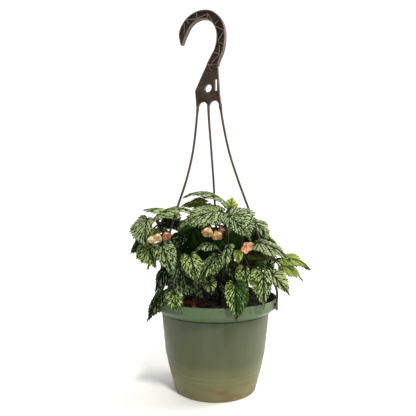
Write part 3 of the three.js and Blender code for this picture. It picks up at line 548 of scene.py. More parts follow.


# Moulded polypropylene with brown regrind: satin, with a faint orange peel. The hook has a painted highlight
# on its edges and on the ribs and flanges that stand proud, and painted shade in its recesses.
def hanger_plastic():
    made, place = new_material("moulded_polypropylene_brown")
    clouds = cloudy(place, 70, 5)
    colour = ramp(clouds, {0.3: "#2c2118", 0.55: "#3a2d22", 0.75: "#4b3b2e"})
    edge = node("NewGeometry", pick="Pointiness", tree=place.tree)
    # Painted highlight: paler on sharp edges.
    edge_highlight = blended(spread(edge, 0.52, 0.6, 0, 0.5), colour, "#6a5a4f")
    out = (math.sin(HANGER_TURN), math.cos(HANGER_TURN), 0)
    outwards = node("VectorMath", (place, out), pick="Value", operation="DOT_PRODUCT")
    from_web = abs(outwards - HANGER_CENTRE_X * math.sin(HANGER_TURN))
    on_hook = spread(parts(place)[2], HOOK_FOOT, HOOK_FOOT + 4 * MM)
    # Painted shade: darker in the recesses of the hook's web.
    recess_shade = blended(on_hook * spread(from_web, 1.4 * MM, 2.4 * MM, 0.6, 0), edge_highlight, "#140e0a")
    # Painted highlight: paler on the hook's ribs and flanges that stand proud.
    wear_and_highlight = blended(on_hook * spread(from_web, 2.4 * MM, 2.8 * MM, 0, 0.55), recess_shade, "#7d6a59")
    return surfaced(made, {
        "Base Color": wear_and_highlight, "Roughness": spread(clouds, 0.3, 0.8, 0.42, 0.6),
        "Normal": bumped(cloudy(place, 1100, 2), 0.15, 0.4 * MM), "IOR": 1.49,
    })


def joined(shells):
    """Several (points, faces) shells as one list of each."""
    points, faces = [], []
    for shell_points, shell_faces in shells:
        start = len(points)
        points.extend(tuple(float(c) for c in p) for p in shell_points)
        faces.extend(tuple(start + i for i in face) for face in shell_faces)
    return points, faces


def fused_tree():
    """Joins shells that run into each other into one skin."""
    given = shape_inputs("fused_shells")
    inputs = {1: given["Geometry"], "Self Intersection": True}
    return finished(node("MeshBoolean", inputs, operation="UNION", solver="EXACT"), given)


def hook_shells():
    """The web, edge flanges, ribs and plate, drawn flat: across, up and out of their plane."""
    left, right = hook_edges()
    left_in, right_in = hook_edges(FLANGE_THICKNESS)
    shells = [
        moulded_slab([np.vstack([right, left[::-1]])], WEB_DEPTH, 0.2),
        moulded_slab([np.vstack([left_in, left[::-1]])], FLANGE_DEPTH),
        moulded_slab([np.vstack([right, right_in[::-1]])], FLANGE_DEPTH),
    ]
    for start, end in np.array(RIBS):
        x, y = unit(end - start) * RIB_WIDTH / 2
        out = np.array([-y, x])
        shells.append(moulded_slab([[start - out, end - out, end + out, start + out]], RIB_DEPTH, 0.15))
    outline = [PLATE_OUTLINE[0]]
    for x, width in ARCHES:
        arch = circle_points(x, ARCH_TOP - width / 2, width / 2, 180, 0, 17)
        outline += [(x - width / 2, PLATE_FOOT), *arch, (x + width / 2, PLATE_FOOT)]
    x, z, width, length = PLATE_SLOT
    slot = [(x + i * width / 2, z + j * length / 2) for i, j in ((-1, -1), (1, -1), (1, 1), (-1, 1))]
    hole, collar = circle_points(*PLATE_HOLE), circle_points(*PLATE_HOLE[:2], COLLAR_RADIUS)
    shells.append(moulded_slab([outline + PLATE_OUTLINE[1:], hole, slot], PLATE_DEPTH))
    shells.append(moulded_slab([collar, hole], COLLAR_DEPTH, 0.25))
    return shells


def turned_out(points):
    """Stands flat points up in the hook's plane, turned about the pot's axis."""
    c, s = math.cos(HANGER_TURN), math.sin(HANGER_TURN)
    return [(HANGER_CENTRE_X + x * c - z * s, -x * s - z * c, y) for x, y, z in points]


def strand_shells(route, bearing):
    """One strand, its tab and its headed peg."""
    c, s = math.cos(math.radians(bearing)), math.sin(math.radians(bearing))
    out, side = np.array([c, s, 0]), np.array([-s, c, 0])
    foot = out * FOOT_CENTRE_RADIUS
    line = route_curve([*route, *[foot + (0, 0, height) for height in FOOT_HEIGHTS]], 90)
    reach = np.linspace(0, 1, len(line))
    radii = STRAND_RADIUS * (1 + 0.35 * np.exp(-reach / 0.02) - 0.06 * np.sin(reach * math.pi))
    tab, tab_faces = moulded_slab([TAB_OUTLINE], TAB_DEPTH, 0.5)
    tab = [foot * MM + side * x + out * z + (0, 0, y) for x, y, z in tab]
    peg = tube([out * place + (0, 0, PEG_HEIGHT / MM) for place, _ in PEG], [r for _, r in PEG], 16)
    return [tube(line, radii, 12), (tab, tab_faces), peg]


HANGER_PLASTIC = hanger_plastic()
hook_points, hook_faces = joined(hook_shells())
hook = mesh_object("hanger_hook", turned_out(hook_points), [f[::-1] for f in hook_faces], smooth=False)
strands = mesh_object("hanger_strands", *joined([
    shell for route, bearing in zip(STRAND_ROUTES, FOOT_BEARINGS) for shell in strand_shells(route, bearing)
]))
for piece in (hook, strands):
    shaped(piece, fused_tree(), HANGER_PLASTIC)
    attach(piece, "root")
    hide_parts("hanger")


# Canes, stalks and leaves
# Jointed fleshy canes stand in the soil, and short hairy stalks carry toothed, lopsided leaves. Each
# blade is thin and quilted: its veins are sunk, and it swells between them.
LEAF_EDGE = [
    (1, 0), (0.92, 0.08), (0.82, 0.24), (0.68, 0.53), (0.51, 0.83), (0.32, 0.99), (0.11, 0.98),
    (-0.07, 0.81), (-0.16, 0.5), (-0.12, 0.2), (0, 0),
]
TAILED_EDGE = [
    (1, 0), (0.88, 0.05), (0.76, 0.14), (0.64, 0.45), (0.46, 0.85), (0.26, 1), (0.08, 0.9),
    (-0.03, 0.55), (0, 0),
]
# How much silver lies between a leaf's veins, how far its green goes to yellow, and how lit it is: a
# low third value is painted shade, for leaves deep in the foliage and under others.
TONES = {
    "silver": (0.75, 0.15, 0.85), "light": (0.85, 0.4, 0.9), "bright": (0.6, 0.6, 0.8),
    "pale": (1, 0.1, 1), "muted": (0.45, 0.55, 0.55), "blue": (0.5, 0, 0.4), "dark": (0.35, 0.1, 0.2),
    "young": (0.12, 1, 0.6), "tender": (0.3, 1, 1), "olive": (0.05, 0.7, 0.4), "shaded": (0.13, 0.5, 0.55),
    "deep": (0, 0.4, 0.45),
}


def leaf(at, base, tip, face, wide, tone="silver", other=None, arch=4, **more):
    """A leaf: where it leaves its cane, the shape of its blade, and the tones of its two halves, which differ
    where one half is painted in shade.
    """
    shape = {"base": base, "tip": tip, "face": face, "wide": wide, "arch": arch, **more}
    return at, shape, (tone, other or tone)


# Each cane has its route from the soil up in millimetres, its leaves, and its blooms: where each leaves
# the cane, its centre, facing, kind and size.
CANES = {
    "left": ([(-38, -5, 121), (-47, -8, 178), (-64, -11, 201), (-80, -13, 230)], [
        leaf(0.97, (-90, -22, 230), (-89, -38, 192), (-0.35, -0.85, 0.4), (8, 26), arch=5, veins=8),
        leaf(0.98, (-54, -3, 238), (-99, -6, 241), (0, -0.4, 0.92), (12, 16), "light", cup=0.45),
        leaf(0.97, (-76, -27, 235), (-26, -35, 238), (0, -0.45, 0.88), (9, 14), "light", arch=8, veins=8),
        leaf(0.93, (-63, 4, 234), (-52, -2, 212), (0.1, -1, 0.2), (13, 14), "dark", arch=3),
        leaf(0.9, (-72, -20, 223), (-61, -21, 217), (0, -0.8, 0.5), (5, 5), "dark"),
        leaf(0.93, (-85, -28, 214), (-86, -33, 191), (-0.7, -0.6, 0.2), (6, 7), "young"),
        leaf(0.8, (-95, -4, 202), (-115, -12, 183), (-0.3, -0.9, 0.2), (19, 9), "shaded"),
        leaf(0.8, (-88, -27, 197), (-76, -40, 166), (-0.2, -0.9, 0.35), (8, 21), "bright", veins=8),
        leaf(0.82, (-70, -44, 198), (-51, -74, 159), (0.05, -0.95, 0.35), (15, 12), arch=5, veins=8),
        leaf(0.55, (-47, -14, 208), (-57, -26, 188), (-0.1, -0.9, 0.4), (11, 11), "dark"),
    ], [
        (0.93, (-80, -46, 208), (-0.35, -0.4, -0.85), "cream", 8.5),
        (0.93, (-73, -57, 211), (0.05, -0.75, -0.65), "cream", 8.5),
        (0.88, (-64, -46, 212), (0.35, -0.75, -0.55), "coral", 8),
    ]),
    "centre": ([(7, -5, 121), (13, -10, 170), (16, -13, 205), (13, -12, 230), (18, -12, 243)], [
        leaf(0.8, (17, -41, 234), (43, -59, 204), (0.25, -0.9, 0.32), (30, 12), cup=0.1, veins=8),
        leaf(0.99, (21, -12, 246), (23, -6, 260), (0, -0.85, 0.5), (9, 9), "tender", arch=1),
        leaf(0.99, (15, 5, 252), (-44, -6, 259), (0, -0.4, 0.92), (13, 10), arch=11, cup=0.3, veins=8),
        leaf(0.9, (8, -20, 240), (-49, -38, 217), (-0.05, -0.6, 0.8), (23, 25), "silver", "light", arch=8,
             veins=8),
        leaf(0.7, (-2, -12, 215), (-9, -21, 182), (0, -1, 0.2), (15, 17), "deep"),
    ], [
        (0.8, (-8, -44, 219), (-0.35, -0.5, -0.8), "peach", 12),
        (0.8, (0, -50, 214), (0.3, -0.6, -0.75), "peach", 10),
        (0.78, (6, -37, 219), (0.4, -0.5, -0.75), "bud", 7),
    ]),
    "right": ([(38, -2, 121), (40, -9, 168), (56, -19, 176), (80, -27, 177)], [
        leaf(0.95, (66, -43, 167), (72, -39, 182), (0, -1, 0.2), (8, 8), arch=2),
        leaf(0.99, (70, -53, 161), (91, -65, 136), (0.15, -0.95, 0.3), (14, 7), "light", veins=8),
        leaf(0.55, (47, -36, 186), (78, -48, 182), (0, -0.75, 0.66), (9, 10), "olive"),
        leaf(0.99, (86, -30, 179), (123, -40, 164), (0.2, -0.7, 0.7), (12, 11), "young", arch=7,
             edge=TAILED_EDGE),
        leaf(0.99, (85, -37, 171), (112, -46, 150), (0.3, -0.75, 0.55), (11, 10), "young", edge=TAILED_EDGE),
        leaf(0.99, (93, -18, 174), (125, -20, 161), (0.1, -0.65, 0.75), (5, 5), "light", edge=TAILED_EDGE),
    ], []),
    "upper_right": ([(28, 14, 121), (34, 4, 165), (43, -5, 203), (45, -8, 217)], [
        leaf(0.68, (55, -41, 200), (93, -56, 178), (0.1, -0.65, 0.75), (12, 13), "pale", arch=6, cup=0.3,
             veins=8),
        leaf(0.8, (53, -14, 208), (73, -20, 185), (0.1, -1, 0.1), (15, 15), "deep"),
        leaf(0.74, (50, -35, 226), (67, -47, 201), (0.3, -0.8, 0.5), (15, 6), veins=8),
        leaf(0.55, (40, 12, 216), (38, 8, 166), (0, -1, 0.1), (18, 19), "deep", veins=4),
    ], [
        (0.8, (37, -55, 197), (0.45, -0.8, -0.4), "opening", 9),
    ]),
    "front_left": ([(-33, -22, 121), (-34, -33, 150), (-37, -40, 176)], [
        leaf(0.95, (-48, -52, 171), (-16, -66, 135), (-0.05, -1, 0.05), (20, 28), "blue", veins=8),
        leaf(0.97, (-32, -61, 185), (-23, -79, 152), (0.1, -0.9, 0.45), (12, 13), "bright", veins=8),
        leaf(0.06, (-51, -74, 141), (-46, -90, 121), (0, -0.8, 0.6), (10, 12), "bright", arch=2),
        leaf(0.06, (-66, -65, 142), (-86, -60, 102), (-0.3, -0.9, 0.3), (9, 10), "dark", cup=0.7),
        leaf(0.8, (-64, -45, 168), (-76, -53, 138), (-0.4, -0.85, 0), (9, 7), "dark"),
    ], []),
    "front": ([(6, -31, 121), (7, -36, 150), (10, -38, 184)], [
        leaf(0.9, (1, -50, 184), (-21, -80, 154), (-0.1, -0.85, 0.6), (15, 9), "muted", veins=8),
        leaf(0.6, (-9, -54, 155), (-5, -63, 136), (0, -1, 0.2), (9, 10), "bright", arch=2),
        leaf(0.3, (11, -44, 149), (13, -49, 132), (0, -1, 0.2), (7, 7), "dark", arch=2),
        leaf(0.99, (16, -47, 195), (14, -62, 168), (-0.6, -0.7, 0.3), (9, 8)),
        leaf(0.7, (17, -50, 171), (22, -58, 151), (0.6, -0.7, 0.3), (5, 8), "dark", arch=2),
        leaf(0.97, (-3, -32, 196), (-27, -46, 188), (-0.1, -0.5, 0.85), (11, 9)),
    ], []),
    "front_right": ([(33, -33, 121), (36, -42, 150), (42, -50, 172)], [
        leaf(0.97, (28, -54, 192), (27, -61, 170), (0, -1, 0.2), (6, 6), "young", cup=0.4, edge=TAILED_EDGE),
        leaf(0.8, (36, -62, 170), (40, -70, 144), (-0.2, -0.95, 0.3), (5, 14), "bright"),
        leaf(0.97, (58, -62, 165), (56, -82, 124), (0.05, -0.95, 0.4), (11, 16), "silver", "bright",
             arch=5, veins=8),
        leaf(0.1, (22, -80, 153), (22, -100, 113), (0.1, -0.95, 0.3), (17, 12), "shaded", "bright", arch=3,
             cup=0.35, veins=8),
    ], []),
    "back": ([(-4, 31, 121), (-8, 36, 170), (-14, 32, 215), (-15, 28, 238)], [
        leaf(0.99, (-15, 26, 253), (-48, 20, 246), (0, 0.6, 0.8), (11, 13), "olive"),
        leaf(0.9, (-6, 14, 247), (-23, 9, 246), (0, 0.5, 0.85), (6, 6), "olive", arch=3),
        leaf(0.85, (-28, 8, 220), (-43, -3, 187), (0, -1, 0.1), (23, 23), "deep"),
        leaf(0.8, (-10, 19, 212), (-14, 8, 165), (0, -1, 0.1), (24, 24), "deep", veins=4),
        leaf(0.7, (21, 28, 207), (17, 18, 162), (0.1, -1, 0.1), (22, 22), "deep", veins=4),
        leaf(0.35, (4, 13, 166), (6, 4, 127), (0, -1, 0.1), (23, 23), "deep", veins=4),
        leaf(0.95, (-20, 48, 226), (-36, 78, 200), (-0.2, 0.6, 0.75), (15, 15), arch=6),
        leaf(0.85, (23, 50, 214), (24, 84, 186), (0, 0.75, 0.6), (15, 15)),
        leaf(0.6, (-14, 58, 186), (-24, 90, 152), (0, 0.85, 0.5), (16, 14)),
        leaf(0.4, (20, 54, 166), (28, 82, 134), (0.2, 0.85, 0.45), (14, 14)),
        leaf(0.35, (-22, 54, 158), (-32, 82, 126), (-0.2, 0.9, 0.4), (14, 13)),
        leaf(0.15, (-21, 20, 158), (-21, 12, 124), (0, -1, 0.1), (14, 14), "deep", veins=4),
    ], []),
    "back_left": ([(-35, 23, 121), (-48, 30, 165), (-61, 34, 204)], [
        leaf(0.7, (-39, 14, 189), (-37, 6, 148), (0, -1, 0.1), (20, 20), "deep", veins=4),
        leaf(0.98, (-74, 32, 214), (-106, 28, 198), (-0.4, 0.3, 0.85), (14, 15), arch=6),
        leaf(0.95, (-64, 50, 202), (-84, 80, 176), (-0.5, 0.6, 0.6), (15, 15)),
        leaf(0.8, (-76, 27, 184), (-96, 20, 156), (-0.8, 0.3, 0.5), (14, 13)),
        leaf(0.6, (-61, 52, 165), (-74, 75, 133), (-0.55, 0.75, 0.4), (15, 14)),
        leaf(0.4, (-60, 12, 152), (-76, 4, 124), (-0.85, -0.1, 0.5), (12, 12)),
    ], []),
    "back_right": ([(33, 31, 121), (46, 38, 165), (57, 40, 200)], [
        leaf(0.7, (52, 21, 181), (50, 12, 134), (0, -1, 0.1), (20, 20), "deep", veins=4),
        leaf(0.98, (70, 36, 208), (92, 40, 182), (0.5, 0.2, 0.85), (14, 14)),
        leaf(0.95, (56, 58, 204), (72, 88, 180), (0.4, 0.65, 0.65), (15, 15)),
        leaf(0.7, (71, 34, 177), (94, 34, 158), (0.8, 0.3, 0.5), (13, 13)),
        leaf(0.6, (57, 60, 168), (70, 86, 134), (0.45, 0.8, 0.4), (15, 14)),
        leaf(0.4, (58, 16, 156), (74, 8, 130), (0.85, -0.2, 0.5), (12, 12)),
        leaf(0.98, (40, 24, 214), (60, 34, 206), (0.1, 0.2, 0.95), (11, 11)),
        leaf(0.15, (29, 25, 158), (30, 21, 123), (0, -1, 0.1), (14, 14), "deep", veins=4),
    ], []),
}

CANE_RADIUS = 2.6
CANE_FOOT = 104
BURIED_LINE = (95, 108)
SOIL_HEIGHT = 121
KNUCKLE_SPACING = 32
STALK_RADIUS = 1.3
STALK_RISE = 0.08
STALK_UNDER_BLADE = 1.2
PEDICEL_RADIUS = 0.8
PEDICEL_BEND = 4
CUP_DEPTH = 2.2
PAD_LENGTH = 3.6
PAD_WIDTH = 1.5
PAD_SLANT = 0.35


def blade(base, tip, face, wide, arch, relief, tooth, wave, mark, edge=LEAF_EDGE, veins=6, cup=0.2,
          midrib=0.58, hollow=0.0, thickness=0.55, fine=6, rings=14):
    """A thin blade as a closed skin: its points, triangles, and three values for each corner of each."""
    base, tip = np.asarray(base, float), np.asarray(tip, float)
    length = np.linalg.norm(tip - base)
    along = (tip - base) / length
    up = unit(np.asarray(face) - along * np.dot(face, along))
    side = np.cross(up, along)
    columns = veins * fine
    t = np.linspace(0, 1, columns + 1)
    phase = (t * veins)[:, None]
    end = flat_curve(edge, t)
    small = np.where(np.arange(columns + 1) % 2, -1, 1)[:, None]
    teeth = tooth * (0.45 * np.cos(2 * math.pi * phase) + small)
    end[1:-1] *= (1 + teeth)[1:-1]
    start = (midrib * np.maximum(0, 1 - t / 0.5))[:, None]
    r = np.linspace(0, 1, rings + 1)
    swell = relief * np.abs(np.sin(math.pi * phase)) ** 0.6 * np.sin(math.pi * r ** 0.7 * 0.82)
    points, values = [], []
    for half in (0, 1):
        end_u = end[:, :1] * np.where(end[:, :1] < 0, 2 * wide[half] / (wide[0] + wide[1]), 1)
        u = start + (end_u - start) * r
        across = end[:, 1:] * r * wide[half]
        bow = 4 * arch * np.where(u > 0, u * (1 - u), u)
        rim = wave * np.sin(2 * math.pi * (phase / 2.3 + mark + 0.3 * half)) * r ** 2
        w = bow - cup * across - hollow * across ** 2 + swell * min(1, 22 / veins / 3) + rim
        points.append(np.stack([u * length, -across if half else across, w], axis=2))
        step_u, step_v = np.gradient(u * length, t * veins, axis=0), np.gradient(across, t * veins, axis=0)
        run_u, run_v = (end_u - start) * length, end[:, 1:] * wide[half]
        run = np.hypot(run_u, run_v) + 1e-6
        spacing = np.abs(step_u * run_v / run - step_v * run_u / run)
        values.append(np.stack(np.broadcast_arrays(phase, r * run, spacing, u, across, r, half), axis=2))
    axes = np.stack([along, side, up])
    grid = np.stack(points)
    low, top = (base + (grid + (0, 0, out)) @ axes for out in (-thickness / 2, thickness / 2))
    corners = np.concatenate([top.reshape(-1, 3), low.reshape(-1, 3)])
    count = len(corners) // 2
    index = np.arange(count).reshape(grid.shape[:3])
    triangles, under = [], []
    trios = lambda *three: np.stack(three, -1).reshape(-1, 3)
    for half, g in enumerate(index):
        a, b, c, d = g[:-1, :-1], g[:-1, 1:], g[1:, 1:], g[1:, :-1]
        skin = np.concatenate([trios(a, b, c), trios(a, c, d)])
        p, q = g[:-1, -1], g[1:, -1]
        if half:
            skin, p, q = skin[:, [0, 2, 1]], q, p
        rim = np.concatenate([trios(p, p + count, q + count), trios(p, q + count, q)])
        triangles += [skin, skin[:, ::-1] + count, rim]
        under += [np.zeros(len(skin)), np.ones(len(skin)), np.full(len(rim), 0.5)]
    triangles, under = np.concatenate(triangles), np.concatenate(under)
    points, merged = np.unique(np.round(corners, 5), axis=0, return_inverse=True)
    shared = merged.reshape(-1)[triangles]
    good = (shared != shared[:, [1, 2, 0]]).all(axis=1)
    here = np.tile(np.stack(values).reshape(-1, 7), (2, 1))[triangles[good]].reshape(-1, 7)
    place = np.stack([here[:, 3], here[:, 4], np.full(len(here), mark)], 1)
    extra = np.stack([here[:, 5], np.repeat(under[good], 3), here[:, 6]], 1)
    return points * MM, shared[good], here[:, :3], place, extra


def blades_object(name, blades, tones, material):
    """One object from several blades, with the values that its material reads kept on its corners."""
    starts = np.cumsum([0] + [len(b[0]) for b in blades])
    points = np.concatenate([b[0] for b in blades])
    triangles = np.concatenate([b[1] + start for b, start in zip(blades, starts)])
    made = mesh_object(name, points.tolist(), triangles.tolist())
    made.data.materials.append(material)
    tone = [np.where(b[4][:, 2:] < 0.5, *pair) for b, pair in zip(blades, tones)]
    for label, data in zip(("vein", "place", "extra", "tone"), [*list(zip(*blades))[2:], tone]):
        layer = made.data.attributes.new(label, "FLOAT_VECTOR", "CORNER")
        layer.data.foreach_set("vector", np.concatenate(data).ravel())
    return made


def kept_values(tree, name):
    """Three values kept on a mesh's corners."""
    return parts(node("Attribute", pick="Vector", tree=tree, attribute_name=name))


# Living begonia leaf: a waxy green skin with dark veins. Air under the skin between the veins shines
# silver, in pads split by the finer veins. The underside is plain olive green.
def leaf_skin():
    made, spot = new_material("begonia_leaf")
    phase, reach, spacing = kept_values(spot.tree, "vein")
    share, across, number = kept_values(spot.tree, "place")
    ring, under, _ = kept_values(spot.tree, "extra")
    silver, yellow, light = kept_values(spot.tree, "tone")
    away = abs(maths("FRACT", phase + 0.5) - 0.5) * spacing
    from_vein = away + (cloudy(spot, 260, 1) - 0.5) * 1.6
    main = spread(from_vein / spread(ring, 0, 1, 1.15, 0.55), 0.35, 1, 1, 0)
    rib = spread(across / spread(share, 0, 1, 1.5, 0.35), 0.4, 1, 1, 0)
    veins = maths("MAXIMUM", main, rib)
    split = cloudy(node("CombineXYZ", {
        0: (reach + away * PAD_SLANT) / PAD_LENGTH,
        1: (away - reach * PAD_SLANT) / PAD_WIDTH,
        2: number * 37 + maths("FLOOR", phase * 2) * 7.3,
    }), 1, 1)
    row = maths("COSINE", phase * (4 * math.pi)) * -0.04
    pads = spread(split + row - (0.62 - silver * 0.17), -0.03, 0.05)
    pads = pads * (1 - veins * 0.9) * spread(silver, 0, 0.3)
    deep = ramp(yellow, {0: "#0a1c08", 0.6: "#0f2605", 1: "#5f7a26"})
    green = ramp(yellow, {0: "#1b3c10", 0.6: "#2a4a10", 1: "#a6b560"})
    # Painted shade: the green and the silver darken as the tone's third value falls.
    ground = blended(spread(light, 0, 1, 0.92, 0), blended(veins, green, deep), "#070f06")
    shine = ramp(yellow, {0: "#9aa680", 0.6: "#abb87a", 1: "#b9c27e"})
    shine = blended(spread(light, 0, 1, 0.85, 0), shine, "#33422b")
    backed = ramp(veins, {0: "#4f5a22", 0.6: "#6b7431", 1: "#7f8640"})
    return surfaced(made, {
        "Base Color": blended(under, blended(pads, ground, shine), backed),
        "Roughness": spread(pads, 0, 0.8, 0.6, 0.45),
        "Specular IOR Level": spread(pads, 0, 0.8, 0.06, 0.3),
        "Normal": bumped(1 - veins * 0.8 + pads * 0.4, 0.55, 0.6 * MM), "IOR": 1.42,
        "Subsurface Weight": 0.06, "Subsurface Radius": (0.4, 1.0, 0.15), "Subsurface Scale": 1.5 * MM,
    })


# Fleshy cane and stalk: smooth green to reddish brown with pale flecks, and almost black low down, as painted
# shade under the foliage.
def cane_skin():
    made, place = new_material("begonia_cane")
    clouds = cloudy(place, 60, 4)
    flecks = node("TexVoronoi", {"Vector": place, "Scale": 380})
    colour = ramp(clouds, {0.3: "#1d160c", 0.5: "#352f17", 0.7: "#5a5026"})
    flecked = blended(spread(flecks, 0.1, 0.25, 0.3, 0), colour, "#9a9163")
    # Painted shade: the cane darkens to almost black below the foliage.
    shade_low_down = blended(spread(parts(place)[2], 150 * MM, 210 * MM, 0.85, 0), flecked, "#0e0a06")
    return surfaced(made, {
        "Base Color": shade_low_down, "Roughness": 0.7, "Specular IOR Level": 0.2,
        "Normal": bumped(clouds, 0.3, 0.5 * MM),
    })


def stems_tree():
    """Gives lines round flesh, and stands short hairs all over it."""
    given = shape_inputs("hairy_stems", {
        "Sides": 10, "Hair length": 1.4 * MM, "Hair radius": 0.09 * MM, "Per square metre": 90000.0,
        "Seed": 11,
    })
    lines = node("MeshToCurve", [given["Geometry"]])
    thick = node("InputNamedAttribute", ["thick"], tree=given.tree, data_type="FLOAT")
    ring = node("CurvePrimitiveCircle", {"Resolution": given["Sides"], "Radius": 1})
    flesh = node("CurveToMesh", {"Curve": lines, "Profile Curve": ring, "Scale": thick, "Fill Caps": True})
    hair = node("MeshCone", {
        "Vertices": 3, "Radius Top": 0, "Radius Bottom": given["Hair radius"], "Depth": given["Hair length"],
    })
    both = node("JoinGeometry", [[flesh, strewn(given, flesh, hair)]])
    return finished(node("SetShadeSmooth", [both]), given)


def stem_lines(route, leaves, blooms):
    """The lines of a cane, its leaf stalks and its bloom stalks, each with a radius at every point."""
    line = route_curve([*[(*route[0][:2], height) for height in BURIED_LINE], *route], 400)
    reach = lengths(line)
    depth = SOIL_HEIGHT - BURIED_LINE[0]
    root = lambda share: np.array([
        np.interp(depth + share * (reach[-1] - depth), reach, line[:, i]) for i in range(3)
    ])
    kept = reach > CANE_FOOT - BURIED_LINE[0]
    line_kept, reach_kept = line[kept], reach[kept]
    from_joint = np.abs((reach_kept - depth - 9) / KNUCKLE_SPACING % 1 - 0.5) * KNUCKLE_SPACING
    joint = np.exp(-((KNUCKLE_SPACING / 2 - from_joint) / 2.2) ** 2) * (line_kept[:, 2] > SOIL_HEIGHT)
    top = np.clip((reach[-1] - reach_kept) / 3, 0.25, 1) ** 0.5
    stems = [(line_kept[::4], (CANE_RADIUS * (0.93 + 0.36 * joint) * top)[::4])]
    stalk = STALK_RADIUS * np.interp(np.linspace(0, 1, 14), [0, 0.1, 0.85, 1], [1.35, 0.95, 0.85, 0.5])
    for at, shape, _ in leaves:
        start, base, tip = root(at), np.array(shape["base"], float), np.array(shape["tip"], float)
        share = STALK_UNDER_BLADE / np.linalg.norm(tip - base)
        middle = (start + base) / 2 + (0, 0, STALK_RISE * np.linalg.norm(base - start))
        end = base + (tip - base) * share + unit(shape["face"]) * (3.2 * shape["arch"] * share - 0.3)
        stems.append((route_curve([start, middle, end], 14), stalk))
    for at, centre, face, *_ in blooms:
        start, axis = root(at), unit(face)
        end = np.array(centre) - axis * CUP_DEPTH
        before = end - axis * PEDICEL_BEND
        pedicel = route_curve([start, (start + before) / 2, before, end], 16)
        stems.append((pedicel, np.full(16, PEDICEL_RADIUS)))
    return stems


def lines_object(name, stems):
    """An object of bare lines that hold a radius at every point."""
    points, edges, thick = [], [], []
    for line, radii in stems:
        start = len(points)
        points.extend(line * MM)
        edges.extend((start + i, start + i + 1) for i in range(len(line) - 1))
        thick.extend(radii * MM)
    made = mesh_object(name, points, [], edges)
    made.data.attributes.new("thick", "FLOAT", "POINT").data.foreach_set("value", thick)
    return made


LEAF_SKIN = leaf_skin()
CANE_SKIN = cane_skin()
STEMS_TREE = stems_tree()
draws = np.random.default_rng(3)
for cane_name, (route, leaves, blooms) in CANES.items():
    stems = lines_object(f"{cane_name}_cane", stem_lines(route, leaves, blooms))
    shaped(stems, STEMS_TREE, CANE_SKIN)
    blades = [blade(**shape, relief=1.8, wave=1.3, tooth=0.06, mark=draws.random()) for _, shape, _ in leaves]
    tones = [[TONES[tone] for tone in pair] for _, _, pair in leaves]
    foliage = blades_object(f"{cane_name}_leaves", blades, tones, LEAF_SKIN)
    for piece in (stems, foliage):
        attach(piece, "root")
        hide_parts(f"cane_{cane_name}")


# Blooms and buds
# Nodding begonia flowers of thick, waxy, rounded petals that close like a bell round a knob of
# yellow stamens, each on a small green cup at the end of its stalk.
CUP = [(-2.4, 0.9), (-2.2, 1.5), (-1.2, 1.9), (0, 2.2), (0.5, 1.6)]
PETAL_EDGE = [(1, 0), (0.97, 0.4), (0.8, 0.82), (0.55, 1), (0.28, 0.8), (0.08, 0.4), (0, 0)]
# Petals of each kind: bearing in degrees, share of length and share of width; then how far they open,
# the size of the knob, the colours from a petal's base to its edge and where it is palest, and its slot.
BLOOM_KINDS = {
    "cream": ([(30, 1, 0.8), (90, 0.9, 0.85), (150, 1.05, 0.7),
               (210, 0.9, 0.8), (270, 1, 0.85), (330, 0.9, 0.75)],
              0.38, 1.6, ("#b58a4e", "#ead79f", "#d3a565", "#fff6da"), "cream_petals"),
    "coral": ([(18, 1, 0.95), (90, 0.9, 0.95), (162, 1, 0.9), (234, 0.9, 0.95), (306, 1, 0.9)],
              0.38, 1.6, ("#8f4a2c", "#dd9468", "#d25f4e", "#f6d3ab"), "coral_petals"),
    "opening": ([(18, 1, 0.8), (90, 0.95, 0.85), (162, 0.9, 0.8), (234, 1, 0.85), (306, 1.05, 0.9)],
                0.62, 1.9, ("#dc8a2e", "#d4604c", "#e58f86", "#fbdccb"), "coral_petals"),
    "peach": ([(30, 1, 0.8), (90, 0.9, 0.85), (150, 1, 0.7),
               (210, 0.9, 0.8), (270, 1, 0.85), (330, 0.95, 0.75)],
              0.4, 1.8, ("#7a4a1e", "#cc9a58", "#cd8a50", "#f8e0a6"), "peach_petals"),
    "bud": ([(90, 1, 1.1), (270, 1, 1.1)], 0.25, 1.4,
            ("#7a4a38", "#a86c5c", "#b98878", "#c9a090"), "pink_bud"),
    "fallen": ([(80, 1, 0.9), (200, 0.9, 0.8), (310, 0.8, 0.8)], 0.75, 1.6,
               ("#2a120b", "#6a2a18", "#a5482a", "#8a5a3a"), "dried_petals"),
}


# Petal: waxy and a little translucent, warmer towards its base, with fine lengthwise veins, and darker
# towards its sides as painted shade in the creases between petals.
def petal_skin(name, base, middle, rim, palest):
    made, spot = new_material(f"{name}_petal")
    share, across, number = kept_values(spot.tree, "place")
    clouds = cloudy(spot, 240, 4)
    colour = ramp(share + (clouds - 0.5) * 0.5, {0.05: base, 0.45: middle, 0.95: rim})
    mottled = spread(clouds + number * 0.14, 0.46, 0.6, 0, 0.9)
    colour = blended(mottled * spread(share, 0.75, 1, 1, 0.4), colour, palest)
    stripes = abs(maths("SINE", across * 4.2))
    colour = blended(spread(stripes, 0, 0.3, 0.25, 0), colour, base)
    return surfaced(made, {
        # Painted shade: darker towards the petal's sides, in the creases between petals.
        "Base Color": blended(spread(abs(across), 0.65, 1, 0, 0.5), colour, base),
        "Roughness": 0.42, "Normal": bumped(clouds, 0.3, 0.4 * MM),
        "Subsurface Weight": 0.25, "Subsurface Radius": (1.0, 0.6, 0.3), "Subsurface Scale": 2 * MM,
    })


# Stamens and cup: small grains of pollen yellow, and a green fleshy cup.
def grain_skin(name, dark, pale):
    made, spot = new_material(name)
    colour = ramp(cloudy(spot, 700, 3), {0.35: dark, 0.65: pale})
    return surfaced(made, {"Base Color": colour, "Roughness": 0.6})


